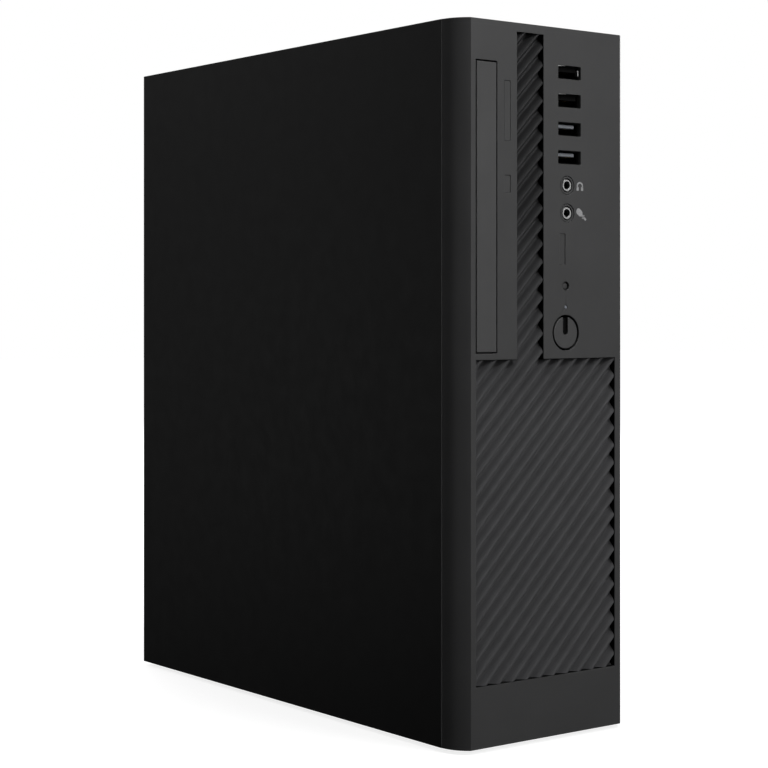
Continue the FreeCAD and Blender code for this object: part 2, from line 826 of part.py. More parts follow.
def drive_brackets():
    """Two bent sheets that hold the disc drive and the hard drive beside the front plate."""
    near, thick = "front_plate_y", "bracket_thick"
    top = "top_z - sheet"
    flat = block("disc_flat", ("drive_right", f"drive_right + {thick}"), (near, "drive_rear_y"),
                 ("drive_low", top))
    front = block("disc_flange", ("drive_right", "drive_right + bracket_flange"),
                  (near, f"{near} + {thick}"), ("drive_low", top))
    roof = block("disc_roof", ("drive_right", "drive_right + bracket_flange"), (near, "drive_rear_y"),
                 (f"{top} - {thick}", top))
    keep(fuse("disc_bracket", flat, front, roof), "disc_bracket")
    z = ("hard_low + 4 * sheet", "hard_high - 4 * sheet")
    flat = block("hard_flat", ("hard_right", f"hard_right + {thick}"), (near, "hard_rear_y"), z)
    front = block("hard_flange", ("hard_left", f"hard_right + {thick}"), (near, f"{near} + {thick}"), z)
    keep(fuse("hard_drive_bracket", flat, front), "hard_drive_bracket")


def hard_drive():
    x, y = ("hard_left", "hard_right"), ("hard_front_y", "hard_rear_y")
    keep(block("hard_drive", x, y, ("hard_low", "hard_high")), "hard_drive")


# ---- Disc drive ----------------------------------------------------------------------------------

def drive_housing():
    y = ("drive_front_y", "drive_rear_y")
    shell = block("drive_shell", ("drive_left", "drive_right"), y, ("drive_low", "drive_high"))
    x = ("drive_left + drive_wall", "drive_right - drive_wall")
    z = ("drive_low + drive_wall", "drive_high - drive_wall")
    cavity = block("drive_cavity", x, ("drive_front_y", "drive_rear_y - drive_wall"), z)
    keep(cut("drive_housing", shell, cavity), "drive_housing")


def disc_tray():
    """Tray with a round well for the disc, a pocket for the motor and a slot for the sled."""
    body = new_body("disc_tray")
    plan = sketch_on(body, "YZ_Plane", "tray_left")
    rectangle(plan, ("tray_front_y", "tray_rear_y"), ("tray_low", "tray_high"))
    feature(body, "Pad", plan, "tray_right - tray_left")
    well = sketch_on(body, "YZ_Plane", "tray_left")
    hole(well, "disc_y", "disc_z", "disc_radius")
    feature(body, "Pocket", well, "well_depth", True)
    motor = sketch_on(body, "YZ_Plane", "tray_left")
    hole(motor, "disc_y", "disc_z", "motor_pocket_radius")
    feature(body, "Pocket", motor, "motor_depth", True)
    through = sketch_on(body, "YZ_Plane", "tray_left")
    hole(through, "disc_y", "disc_z", "spindle_bore_radius")
    rectangle(through, ("slot_near_y", "slot_far_y"), ("disc_z - slot_half", "disc_z + slot_half"))
    feature(body, "Pocket", through, "tray_right - tray_left", True)


def disc_door():
    x = ("door_left + fit_gap / 2", "door_right - fit_gap / 2")
    z = ("door_low + fit_gap", "door_high - fit_gap")
    keep(block("disc_door", x, ("front_y + fit_gap / 2", "tray_front_y"), z), "disc_door")


def disc_spindle():
    """Motor, hub and shaft that turn together in the tray."""
    depth = "tray_left + well_depth - gap"
    motor = rod("motor_drum", "x", (depth, "disc_y", "disc_z"), "motor_radius",
                "motor_depth - well_depth + gap / 2")
    hub = rod("motor_hub", "x", ("tray_left + gap", "disc_y", "disc_z"), "hub_radius",
              "well_depth - gap")
    shaft = rod("motor_shaft", "x", ("tray_left + well_depth", "disc_y", "disc_z"), "spindle_radius",
                "tray_right - tray_left - well_depth")
    keep(fuse("disc_spindle", motor, hub, shaft), "disc_spindle")


def laser_sled():
    """Sled with a lens, on two rails that cross the tray's slot."""
    x = ("tray_left + well_depth + gap", "tray_right - gap")
    z = ("disc_z - sled_half", "disc_z + sled_half")
    carriage = block("sled_block", x, ("sled_near_y", "sled_far_y"), z)
    lens = rod("sled_lens", "x", ("tray_left + well_depth - gap", "(sled_near_y + sled_far_y) / 2", "disc_z"),
               "lens_radius", "2 * gap")
    bores = []
    rails = []
    for side in (-1, 1):
        height = f"disc_z + {side} * rail_spread"
        start = ("(tray_left + well_depth + tray_right) / 2", "slot_near_y", height)
        bores.append(rod("sled_bore", "y", start, "rail_bore_radius", "slot_far_y - slot_near_y"))
        rails.append(rod("sled_rail", "y", start, "rail_radius", "slot_far_y - slot_near_y"))
    keep(cut("laser_sled", fuse("sled_solid", carriage, lens), *bores), "laser_sled")
    keep(group("sled_rails", *rails), "sled_rails")


# ---- Fans ----------------------------------------------------------------------------------------

def fan(name, axis, centre, width, depth):
    """Square frame with a round duct, and a rotor that turns on the frame's shaft.

    The frame starts at the centre formulas and runs along the axis; its back plate is at the far end.
    """
    across = {"x": (1, 2), "z": (0, 1)}[axis]
    along = "xyz".index(axis)
    spans = [None, None, None]
    for index in across:
        spans[index] = (f"{centre[index]} - {width} / 2", f"{centre[index]} + {width} / 2")
    spans[along] = (centre[along], f"{centre[along]} + {depth}")
    square = block(f"{name}_square", *spans)
    duct = rod(f"{name}_duct", axis, centre, f"{width} / 2 - fan_rim", depth)
    tools = [duct]
    for first in (-1, 1):
        for second in (-1, 1):
            corner = list(centre)
            corner[across[0]] += f" + {first} * ({width} / 2 - fan_screw_inset)"
            corner[across[1]] += f" + {second} * ({width} / 2 - fan_screw_inset)"
            tools.append(rod(f"{name}_screw_hole", axis, corner, "fan_screw_radius", depth))
    ring = cut(f"{name}_ring", square, *tools)
    plate_start = list(centre)
    plate_start[along] += f" + {depth} - fan_plate"
    plate = rod(f"{name}_plate", axis, plate_start, "fan_hub_radius", "fan_plate")
    arms = []
    for index in across:
        arm = list(spans)
        other = across[1] if index == across[0] else across[0]
        arm[index] = (f"{centre[index]} - {width} / 2 + fan_rim / 2",
                      f"{centre[index]} + {width} / 2 - fan_rim / 2")
        arm[other] = (f"{centre[other]} - fan_plate", f"{centre[other]} + fan_plate")
        arm[along] = (plate_start[along], f"{centre[along]} + {depth}")
        arms.append(block(f"{name}_arm", *arm))
    shaft_start = list(centre)
    shaft_start[along] += f" + {depth} / 2"
    shaft = rod(f"{name}_shaft", axis, shaft_start, "spindle_radius", f"{depth} / 2")
    keep(fuse(f"{name}_frame", ring, plate, *arms, shaft), f"{name}_frame")
    keep(fan_rotor(name, axis, centre, size(width), size(depth)), f"{name}_rotor")


def fan_rotor(name, axis, centre, width, depth):
    """Hub with twisted blades, bored for the shaft, standing clear of the frame's back plate."""
    hub_radius = size("fan_hub_radius")
    tip_radius = width / 2 - size("fan_rim") - size("fan_tip_gap")
    low, high = size("fan_rim"), depth - size("fan_plate") - size("fan_tip_gap")
    middle, half_chord = (low + high) / 2, (high - low) / 2
    solid = Part.makeCylinder(hub_radius, high - low, FreeCAD.Vector(0, 0, low))
    stations = [(hub_radius - 1, size("fan_blade_root")), (tip_radius, size("fan_blade_tip"))]
    blade_wires = []
    for radius, pitch in stations:
        lean = math.radians(pitch)
        run = half_chord / math.tan(lean)
        thick = size("fan_blade_thick") / 2
        corners = [(-run, -half_chord), (-run + 2 * thick, -half_chord), (run, half_chord),
                   (run - 2 * thick, half_chord)]
        points = [FreeCAD.Vector(radius, across, middle + along) for across, along in corners]
        blade_wires.append(Part.makePolygon(points + points[:1]))
    blade = Part.makeLoft(blade_wires, True, True)
    limit = Part.makeCylinder(tip_radius, high - low, FreeCAD.Vector(0, 0, low))
    blade = blade.common(limit)
    count = int(size("fan_blade_count"))
    for index in range(count):
        turned = blade.copy()
        turned.rotate(FreeCAD.Vector(), AXES["z"], 360 * index / count)
        solid = solid.fuse(turned)
    solid = solid.cut(Part.makeCylinder(size("spindle_bore_radius"), depth))
    rotor = doc.addObject("Part::Feature", f"{name}_rotor")
    rotor.Shape = solid
    rotor.Placement = FreeCAD.Placement(FreeCAD.Vector(), FreeCAD.Rotation(AXES["z"], AXES[axis]))
    return bind(rotor, base_x=centre[0], base_y=centre[1], base_z=centre[2])


# ---- Power supply --------------------------------------------------------------------------------

def supply_case():
    """Hollow steel box, open for its fan, inlet and rocker, with a rear grille."""
    y = ("supply_front_y", "panel_y")
    shell = block("supply_shell", ("supply_left", "supply_right"), y, ("supply_low", "supply_high"))
    x = ("supply_left + sheet", "supply_right - sheet")
    inner_y = ("supply_front_y + sheet", "panel_y - sheet")
    cavity = block("supply_cavity", x, inner_y, ("supply_low + sheet", "supply_high - sheet"))
    fan_start = ("supply_fan_x", "supply_fan_y", "supply_high - 2 * sheet")
    fan_window = rod("supply_fan_window", "z", fan_start, "supply_fan_size / 2 - fan_rim", "4 * sheet")
    rear_y = ("panel_y - 2 * sheet", "panel_y + sheet")
    inlet_window = block("inlet_window", around("inlet_x", "inlet_half_width"), rear_y,
                         around("inlet_z", "inlet_half_height"))
    rocker_window = block("rocker_window", around("rocker_x", "rocker_frame_half_width"), rear_y,
                          around("inlet_z", "rocker_frame_half_height"))
    holes = []
    for column in range(int(size("grille_columns"))):
        for row in range(int(size("grille_rows"))):
            start = (f"grille_left + {column} * grille_pitch", "panel_y - 2 * sheet",
                     f"grille_low + {row} * grille_pitch")
            holes.append(rod("grille_hole", "y", start, "grille_radius", "4 * sheet"))
    keep(cut("supply_case", shell, cavity, fan_window, inlet_window, rocker_window, *holes), "supply_case")


def fan_guard():
    """Rings of wire tied by two crossing wires over the power supply's fan."""
    height = "supply_high + guard_wire"
    rings = []
    for step in range(int(size("guard_rings"))):
        ring = doc.addObject("Part::Torus", "guard_ring")
        radius = f"{step + 1} * (supply_fan_size / 2 - fan_rim) / guard_rings"
        bind(ring, Radius1=radius, Radius2="guard_wire", base_x="supply_fan_x", base_y="supply_fan_y",
             base_z=height)
        rings.append(ring)
    reach = "(supply_fan_size / 2)"
    along_x = (f"supply_fan_x - {reach}", "supply_fan_y", height)
    along_y = ("supply_fan_x", f"supply_fan_y - {reach}", height)
    ties = [
        rod("guard_tie", "x", along_x, "guard_wire", f"2 * {reach}"),
        rod("guard_tie", "y", along_y, "guard_wire", f"2 * {reach}"),
    ]
    keep(fuse("fan_guard", *rings, *ties), "fan_guard")


def mains_inlet():
    """Moulded inlet with an open cavity, and the three pins that stand in it."""
    x, z = around("inlet_x", "inlet_half_width"), around("inlet_z", "inlet_half_height")
    body = block("inlet_body", x, ("panel_y - inlet_depth", "panel_y"), z)
    x, z = around("inlet_x", "inlet_cavity_half_width"), around("inlet_z", "inlet_cavity_half_height")
    cavity = block("inlet_cavity", x, ("panel_y - inlet_cavity_depth", "panel_y"), z)
    keep(cut("mains_inlet", body, cavity), "mains_inlet")
    pins = []
    for step, rise in ((-1, "-pin_rise"), (0, "pin_rise"), (1, "-pin_rise")):
        x = around(f"inlet_x + {step} * pin_spread", "pin_width / 2")
        z = around(f"inlet_z + {rise}", "pin_height / 2")
        low = "panel_y - inlet_cavity_depth"
        pins.append(block("inlet_pin", x, (low, f"{low} + pin_length"), z))
    keep(group("inlet_pins", *pins), "inlet_pins")


def supply_rocker():
    """Rocker that tilts about a sideways pivot, in a fixed frame."""
    x, z = around("rocker_x", "rocker_frame_half_width"), around("inlet_z", "rocker_frame_half_height")
    outer = block("rocker_outer", x, ("panel_y - rocker_depth", "panel_y"), z)
    x = around("rocker_x", "(rocker_half_width + gap)")
    z = around("inlet_z", "(rocker_half_height + 3 * gap)")
    well = block("rocker_well", x, ("panel_y - rocker_depth + sheet", "panel_y"), z)
    keep(cut("rocker_frame", outer, well), "rocker_frame")
    half_height, half_width = size("rocker_half_height"), size("rocker_half_width")
    rise, root = size("rocker_rise"), -size("rocker_root")
    narrow = half_height - size("rocker_taper")
    face = [(rise, -half_height), (size("rocker_waist"), 0), (rise, half_height)]
    profile = face + [(root, narrow), (root, -narrow)]
    points = [FreeCAD.Vector(-half_width, y, z) for y, z in profile]
    wedge = Part.Face(Part.makePolygon(points + points[:1])).extrude(FreeCAD.Vector(2 * half_width, 0, 0))
    rocker = doc.addObject("Part::Feature", "supply_rocker")
    rocker.Shape = wedge
    rocker.Placement = FreeCAD.Placement(FreeCAD.Vector(), FreeCAD.Rotation(AXES["x"], size("rocker_tilt")))
    bind(rocker, base_x="rocker_x", base_y="rocker_pivot_y", base_z="inlet_z")
    keep(rocker, "supply_rocker")


# ---- Main board ----------------------------------------------------------------------------------

def main_board():
    """Board, its stand-offs and screws; the screws' tips end inside the stand-offs."""
    y, z = ("board_near_y", "board_far_y"), ("board_low", "board_high")
    board = block("board_blank", ("board_left", "board_right"), y, z)
    holes, posts, bolts = [], [], []
    depths = ("board_near_y + bolt_inset", "board_far_y - 2 * bolt_inset")
    heights = ("board_low + bolt_inset", "(board_low + board_high) / 2", "board_high - bolt_inset")
    for depth in depths:
        for height in heights:
            holes.append(rod("board_hole", "x", ("board_left", depth, height), "post_bore_radius",
                             "board_right - board_left"))
            post = rod("post_blank", "x", ("board_right", depth, height), "post_radius",
                       "half_width - sheet - board_right")
            bore = rod("post_bore", "x", ("board_right", depth, height), "post_bore_radius", "bolt_reach")
            posts.append(cut("stand_off", post, bore))
            shank = rod("bolt_shank", "x", ("board_left", depth, height), "bolt_radius", "bolt_reach")
            head = rod("bolt_head", "x", ("board_left - bolt_head_height", depth, height),
                       "bolt_head_radius", "bolt_head_height")
            bolts.append(fuse("board_screw", head, shank))
    keep(cut("main_board", board, *holes), "main_board")
    keep(group("stand_offs", *posts), "stand_offs")
    keep(group("board_screws", *bolts), "board_screws")


def on_board(name, y, z, height, base="board_left"):
    """Block that stands on the board, or on whatever ends at the base formula."""
    return block(name, (f"{base} - {height}", base), y, z)


def processor():
    """Socket with its processor under a finned heat sink."""
    keep(on_board("processor_socket", around("socket_y", "socket_half"), around("socket_z", "socket_half"),
                  "socket_height"), "processor_socket")
    body = new_body("heat_sink")
    top = "board_left - socket_height"
    base = sketch_on(body, "YZ_Plane", f"{top} - sink_base")
    rectangle(base, around("socket_y", "sink_half"), around("socket_z", "sink_half"))
    feature(body, "Pad", base, "sink_base")
    fin = sketch_on(body, "YZ_Plane", "sink_top")
    rectangle(fin, around("socket_y", "sink_half"),
              ("socket_z - sink_half", "socket_z - sink_half + fin_thick"))
    first_fin = feature(body, "Pad", fin, f"{top} - sink_base - sink_top")
    fins = body.newObject("PartDesign::LinearPattern", "fin_pattern")
    fins.Originals = [first_fin]
    fins.Direction = (fin, ["V_Axis"])
    fins.Mode = "Spacing"
    bind(fins, Offset="fin_pitch", Occurrences="fin_count")
    body.Tip = fins


def memory():
    """Two memory slots with a module standing in each."""
    z = ("memory_low", "memory_low + memory_length")
    lip = "(memory_length - module_length) / 2"
    module_z = (f"memory_low + {lip}", f"memory_low + memory_length - {lip}")
    slots, modules = [], []
    for slot in range(2):
        middle = f"(memory_near_y + {slot} * memory_pitch)"
        slots.append(on_board("memory_slot", around(middle, "memory_slot_thick / 2"), z,
                              "memory_slot_height"))
        modules.append(on_board("memory_module", around(middle, "module_thick / 2"), module_z,
                                "module_height", "board_left - memory_slot_height"))
    keep(group("memory_slots", *slots), "memory_slots")
    keep(group("memory_modules", *modules), "memory_modules")


def card_slots():
    """One long and two short expansion slots, each in line with a rear window."""
    slots = []
    for card, length in enumerate(("long_slot_length", "short_slot_length", "short_slot_length")):
        slots.append(on_board("card_slot", (f"card_slot_far_y - {length}", "card_slot_far_y"),
                              around(slot_height(card), "card_slot_thick / 2"), "card_slot_height"))
    keep(group("card_slots", *slots), "card_slots")


# Rear sockets: name, then the middle height of each, its height along Z and how far it stands up
REAR_PORTS = {
    "rear_usb_ports": (("port_usb_z", "port_usb_z - port_usb_drop"), "port_usb_tall", "port_usb_rise"),
    "video_port": (("port_video_z",), "port_video_tall", "port_video_rise"),
    "network_port": (("port_network_z",), "port_network_tall", "port_network_rise"),
    "sound_port": (("port_sound_z",), "port_sound_tall", "port_sound_rise"),
}


def rear_ports():
    """Sockets along the board's rear edge, and the shield that they look through."""
    windows = []
    y = ("port_front_y", "port_rear_y")
    for name, (middles, tall, rise) in REAR_PORTS.items():
        sockets = []
        for middle in middles:
            z = around(middle, f"{tall} / 2")
            sockets.append(on_board("rear_socket", y, z, rise))
            x = (f"board_left - {rise} - gap", "board_left + gap")
            windows.append(block("shield_window", x, ("panel_y - sheet", "panel_y + sheet"),
                                 around(middle, f"({tall} / 2 + gap)")))
        keep(group(name, *sockets), name)
    x = ("shield_left + fit_gap", "shield_right - fit_gap")
    z = ("shield_low + fit_gap", "shield_high - fit_gap")
    plate = block("shield_blank", x, ("panel_y", "panel_y + shield_thick"), z)
    keep(cut("port_shield", plate, *windows), "port_shield")


def board_fittings():
    """Chipset heat sink and main power socket."""
    keep(on_board("chipset_sink", around("chipset_y", "chipset_half"), around("chipset_z", "chipset_half"),
                  "chipset_height"), "chipset_sink")
    z = around("power_plug_z", "power_plug_length / 2")
    y = around("power_plug_y", "power_plug_width / 2")
    keep(on_board("power_socket", y, z, "power_plug_height"), "power_socket")


# ---- Inner cables --------------------------------------------------------------------------------

BEND_SHARE = 0.45

# Route of each cable: the sheet's size for its radius, then its points from end to end
CABLES = {
    "board_supply": ("bundle_radius", [
        (24, -41, 40), (24, -62, 40), (22, -78, 58), (20, -85, 90), (19, -86, 130),
        (20, -84, 175), (18, -79, 212), (15, -68, 238), (20, -60, 250), (32, -60, 250),
    ]),
    "hard_drive_lead": ("lead_radius", [
        (-34, 29, 160), (-34, 44, 160), (-31, 58, 170), (-14, 62, 181),
        (12, 56, 184), (30, 44, 177), (34, 36, 168), (45, 36, 168),
    ]),
    "disc_drive_lead": ("lead_radius", [
        (-37, -11, 196), (-37, 6, 196), (-31, 20, 187), (-12, 26, 178),
        (14, 24, 171), (32, 20, 165), (45, 20, 165),
    ]),
    "front_leads": ("lead_radius", [
        (19, -125.4, 250), (19, -112, 250), (26, -98, 232), (32, -92, 196),
        (34, -90, 152), (33, -79, 116), (35, -62, 97), (45, -62, 97),
    ]),
}


def bent_line(points):
    """Straight runs through the points, joined by tangent arcs as large as the runs allow."""
    corners = [FreeCAD.Vector(*point) for point in points]
    edges = []
    start = corners[0]
    for before, corner, after in zip(corners, corners[1:], corners[2:]):
        back, ahead = (before - corner), (after - corner)
        reach = BEND_SHARE * min(back.Length, ahead.Length)
        back, ahead = back.normalize(), ahead.normalize()
        half_turn = (math.pi - back.getAngle(ahead)) / 2
        radius = reach / math.tan(half_turn)
        print(f"  bend radius {radius:.0f} mm")
        centre = corner + (back + ahead).normalize() * (radius / math.cos(half_turn))
        enter, leave = corner + back * reach, corner + ahead * reach
        middle = centre + (corner - centre).normalize() * radius
        edges.append(Part.LineSegment(start, enter).toShape())
        edges.append(Part.Arc(enter, middle, leave).toShape())
        start = leave
    edges.append(Part.LineSegment(start, corners[-1]).toShape())
    return Part.Wire(edges)


def wiring():
    """Cables inside the case: supply bundle, two drive leads and the front panel's leads."""
    cables = []
    for name, (radius, points) in CABLES.items():
        print(name)
        line = bent_line(points)
        first = FreeCAD.Vector(*points[0])
        heading = FreeCAD.Vector(*points[1]) - first
        section = Part.Wire(Part.makeCircle(size(radius), first, heading))
        tube = line.makePipeShell([section], True, False)
        expected = math.pi * size(radius) ** 2 * line.Length
        print(f"  length {line.Length:.0f} mm, volume {tube.Volume / expected:.3f} of section times length")
        cable = doc.addObject("Part::Feature", name)
        cable.Shape = tube
        cables.append(cable)
    keep(group("wiring", *cables), "wiring")


# ---- Build and write -----------------------------------------------------------------------------

def build():
    front_bezel()
    rib_panel()
    front_lamps()
    eject_button()
    power_button()
    reset_button()
    switch_housings()
    socket_board()
    usb_sockets()
    audio_jack("headphone_jack", "headphone_z")
    audio_jack("microphone_jack", "microphone_z")
    case_sheets()
    case_wall()
    front_plate()
    rear_panel()
    side_cover()
    cover_screws()
    padlock_loop()
    feet()
    slot_covers()
    drive_brackets()
    hard_drive()
    drive_housing()
    disc_tray()
    disc_door()
    disc_spindle()
    laser_sled()
    supply_case()
    fan("supply_fan", "z", ("supply_fan_x", "supply_fan_y", "supply_high - sheet - supply_fan_depth"),
        "supply_fan_size", "supply_fan_depth")
    fan_guard()
    mains_inlet()
    supply_rocker()
    main_board()
    processor()
    fan("cooler_fan", "x", ("sink_top - fan_depth", "socket_y", "socket_z"), "cooler_fan_size", "fan_depth")
    memory()
    card_slots()
    rear_ports()
    board_fittings()
    wiring()


def write():
    doc.recompute()
    for item in doc.Objects:
        if "Invalid" in item.State or "Error" in item.State:
            raise RuntimeError(f"{item.Label} failed: {item.State}")
    for part in subparts:
        if part.Shape.isNull() or not part.Shape.isValid():
            raise RuntimeError(f"{part.Label} has no valid shape")
    os.makedirs("parts", exist_ok=True)
    for part in subparts:
        part.Shape.exportStep(f"parts/{part.Label}.step")
    print(f"{len(subparts)} sub-parts written")


build()
write()
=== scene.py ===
"""Looks of the desktop computer tower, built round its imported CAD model. Metres, +Z up, front is -Y."""
import json
import math
import random

import bmesh
import bpy
from mathutils import Matrix, Vector


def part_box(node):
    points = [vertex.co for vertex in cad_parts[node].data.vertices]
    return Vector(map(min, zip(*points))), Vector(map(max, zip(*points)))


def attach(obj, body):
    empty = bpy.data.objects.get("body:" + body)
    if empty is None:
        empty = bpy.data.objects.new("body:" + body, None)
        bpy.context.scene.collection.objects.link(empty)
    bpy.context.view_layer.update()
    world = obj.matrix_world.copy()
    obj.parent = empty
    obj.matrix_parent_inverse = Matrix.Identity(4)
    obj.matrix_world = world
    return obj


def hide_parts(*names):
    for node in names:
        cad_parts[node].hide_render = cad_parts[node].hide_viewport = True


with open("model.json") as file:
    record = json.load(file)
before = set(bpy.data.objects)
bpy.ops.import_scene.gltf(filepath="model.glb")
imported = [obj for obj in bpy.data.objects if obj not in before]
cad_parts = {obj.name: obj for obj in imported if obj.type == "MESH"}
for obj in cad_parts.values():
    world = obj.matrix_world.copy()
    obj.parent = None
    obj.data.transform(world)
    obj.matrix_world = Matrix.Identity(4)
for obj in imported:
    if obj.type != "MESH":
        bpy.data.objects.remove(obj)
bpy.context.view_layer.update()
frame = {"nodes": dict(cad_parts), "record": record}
MM = 0.001


# ---- Camera, floor and light ----

CAMERA_SIDE = math.radians(-37.33)
CAMERA_PLACE = Vector((-0.5918, -0.7936, 0.2006))
LENS = 88.43
SHIFT_UP = -0.0973
FLOOR_HALF = 6.0
FLOOR_GREY = 0.35
# Glow of the floor under the object, far away, and the distance in metres where it stops growing
GLOW_NEAR, GLOW_FAR, GLOW_REACH = 0.8, 1.05, 1.2


def add_object(name, data):
    item = bpy.data.objects.new(name, data)
    bpy.context.collection.objects.link(item)
    return item


def fill(node, values):
    """Sets inputs of a node by name, each to a value or to the output of another node."""
    for name, value in values.items():
        if isinstance(value, bpy.types.NodeSocket):
            node.id_data.links.new(value, node.inputs[name])
        else:
            node.inputs[name].default_value = value


def make_camera():
    data = bpy.data.cameras.new("camera")
    data.sensor_width = 36
    data.lens = LENS
    data.shift_y = SHIFT_UP
    camera = add_object("camera", data)
    camera.location = CAMERA_PLACE
    camera.rotation_euler = (math.radians(90), 0, CAMERA_SIDE)
    bpy.context.scene.camera = camera


def make_light(name, place, target, width, height, power):
    data = bpy.data.lights.new(name, "AREA")
    data.shape = "RECTANGLE"
    data.size = width
    data.size_y = height
    data.energy = power
    lamp = add_object(name, data)
    lamp.location = place
    lamp.rotation_euler = (Vector(target) - Vector(place)).to_track_quat("-Z", "Y").to_euler()


def make_floor():
    """Pale floor that glows into the white sky, takes the object's shadow and lights nothing."""
    mesh = bpy.data.meshes.new("floor")
    mesh.from_pydata([(-FLOOR_HALF, -FLOOR_HALF, 0), (FLOOR_HALF, -FLOOR_HALF, 0),
                      (FLOOR_HALF, FLOOR_HALF, 0), (-FLOOR_HALF, FLOOR_HALF, 0)], [], [(0, 1, 2, 3)])
    floor = add_object("floor", mesh)
    floor.visible_diffuse = False
    floor.visible_glossy = False
    paint = bpy.data.materials.new("floor_paint")
    paint.use_nodes = True
    nodes, links = paint.node_tree.nodes, paint.node_tree.links
    surface = nodes["Principled BSDF"]
    fill(surface, {"Base Color": (FLOOR_GREY, FLOOR_GREY, FLOOR_GREY, 1), "Emission Color": (1, 1, 1, 1),
                   "Roughness": 0.9, "Specular IOR Level": 0.0})
    place = nodes.new("ShaderNodeTexCoord")
    distance = nodes.new("ShaderNodeVectorMath")
    distance.operation = "LENGTH"
    glow = nodes.new("ShaderNodeMapRange")
    fill(glow, {"From Max": GLOW_REACH, "To Min": GLOW_NEAR, "To Max": GLOW_FAR})
    links.new(place.outputs["Object"], distance.inputs[0])
    fill(glow, {"Value": distance.outputs["Value"]})
    fill(surface, {"Emission Strength": glow.outputs["Result"]})
    mesh.materials.append(paint)


# Soft lights: place, what they point at, width and height, power
LIGHTS = {
    "key": ((0.6, -1.65, 0.4), (0, -0.14, 0.2), (1.2, 1.2), 10.2),
    "door_light": ((0.18, -0.72, 0.85), (-0.05, -0.14, 0.28), (0.3, 0.3), 3.8),
    "overhead": ((0, 0.1, 2.2), (0, 0, 0), (2.2, 2.2), 34),
    "left_fill": ((-1.15, 1.3, 0.14), (0, 0, 0.1), (0.8, 0.8), 1.0),
    "band_light": ((-1.5, -0.6, 0.25), (0, -0.14, 0.12), (0.8, 0.8), 1.9),
    "back_left": ((-0.8, 1.9, 1.2), (0, 0.1, 0.2), (0.9, 0.9), 2.2),
    "right_fill": ((1.6, 0.9, 0.9), (0, 0, 0.17), (0.9, 0.9), 14),
    "back_fill": ((0.5, 1.9, 1.0), (0, 0.1, 0.17), (0.9, 0.9), 20),
}


def make_stage():
    """White sky that lights nothing, pale floor and soft studio lights."""
    world = bpy.data.worlds.new("studio")
    world.use_nodes = True
    fill(world.node_tree.nodes["Background"], {"Color": (1, 1, 1, 1), "Strength": 1.0})
    world.cycles_visibility.diffuse = False
    world.cycles_visibility.glossy = False
    bpy.context.scene.world = world
    bpy.context.scene.view_settings.view_transform = "Standard"
    make_floor()
    for name, (place, target, (width, height), power) in LIGHTS.items():
        make_light(name, place, target, width, height, power)


# ---- Materials ----

class Paint:
    """A node material that starts from one Principled surface."""

    def __init__(self, name, roughness, metallic=0.0, specular=0.5, coat=0.0):
        self.material = bpy.data.materials.new(name)
        self.material.use_nodes = True
        self.tree = self.material.node_tree
        self.surface = self.tree.nodes["Principled BSDF"]
        fill(self.surface, {"Roughness": roughness, "Metallic": metallic, "Specular IOR Level": specular,
                            "Coat Weight": coat})
        self.place = self.add("ShaderNodeTexCoord").outputs["Object"]

    def add(self, kind, **settings):
        node = self.tree.nodes.new(kind)
        for name, value in settings.items():
            setattr(node, name, value)
        return node

    def stretched(self, factors):
        """Object coordinates stretched along the axes, for streaks."""
        node = self.add("ShaderNodeMapping")
        fill(node, {"Scale": factors, "Vector": self.place})
        return node.outputs["Vector"]

    def grain(self, size_mm, detail=2.0, place=None):
        """Noise whose spots are about size_mm across."""
        node = self.add("ShaderNodeTexNoise")
        fill(node, {"Scale": 1 / (size_mm * MM), "Detail": detail, "Vector": place or self.place})
        return node.outputs["Fac"]

    def ramp(self, source, stops):
        """Colours or greys at places along a 0 to 1 source."""
        node = self.add("ShaderNodeValToRGB")
        elements = node.color_ramp.elements
        while len(elements) < len(stops):
            elements.new(0.5)
        for element, (place, colour) in zip(elements, stops):
            element.position = place
            value = (colour,) * 3 if isinstance(colour, (int, float)) else colour
            element.color = (*value, 1)
        fill(node, {"Fac": source})
        return node.outputs["Color"]

    def colour(self, source):
        fill(self.surface, {"Base Color": source})
        return self

    def roughness(self, source, low, high):
        node = self.add("ShaderNodeMapRange")
        fill(node, {"To Min": low, "To Max": high, "Value": source})
        fill(self.surface, {"Roughness": node.outputs["Result"]})
        return self

    def bump(self, source, height_mm, strength=1.0):
        node = self.add("ShaderNodeBump")
        fill(node, {"Distance": height_mm * MM, "Strength": strength, "Height": source})
        for previous in self.surface.inputs["Normal"].links:
            fill(node, {"Normal": previous.from_socket})
        fill(self.surface, {"Normal": node.outputs["Normal"]})
        return self

    def painted_edge_highlight(self, colour_source, light, amount=0.5):
        """Painted highlight: lightens a colour where the surface turns sharply."""
        bevel = self.add("ShaderNodeBevel", samples=4)
        fill(bevel, {"Radius": 0.4 * MM})
        geometry = self.add("ShaderNodeNewGeometry")
        dot = self.add("ShaderNodeVectorMath", operation="DOT_PRODUCT")
        for index, source in enumerate((bevel, geometry)):
            self.tree.links.new(source.outputs["Normal"], dot.inputs[index])
        share = self.add("ShaderNodeMapRange")
        fill(share, {"From Min": 0.99, "From Max": 0.85, "To Max": amount, "Value": dot.outputs["Value"]})
        mix = self.add("ShaderNodeMix", data_type="RGBA")
        fill(mix, {"Factor": share.outputs["Result"], "A": colour_source, "B": (*light, 1)})
        return mix.outputs["Result"]


def grey(value):
    return (value, value, value * 1.02)


def bezel_plastic():
    """Charcoal ABS with a fine spark-eroded grain."""
    paint = Paint("bezel_plastic", 0.5, specular=0.4)
    cloud = paint.grain(28, 3)
    tone = paint.ramp(cloud, [(0.3, grey(0.040)), (0.7, grey(0.046))])
    # Painted highlight along the bezel's sharp edges
    paint.colour(paint.painted_edge_highlight(tone, grey(0.075), 0.5))
    paint.roughness(paint.grain(3, 4), 0.46, 0.58)
    return paint.bump(paint.grain(0.35, 3), 0.02, 0.6).material
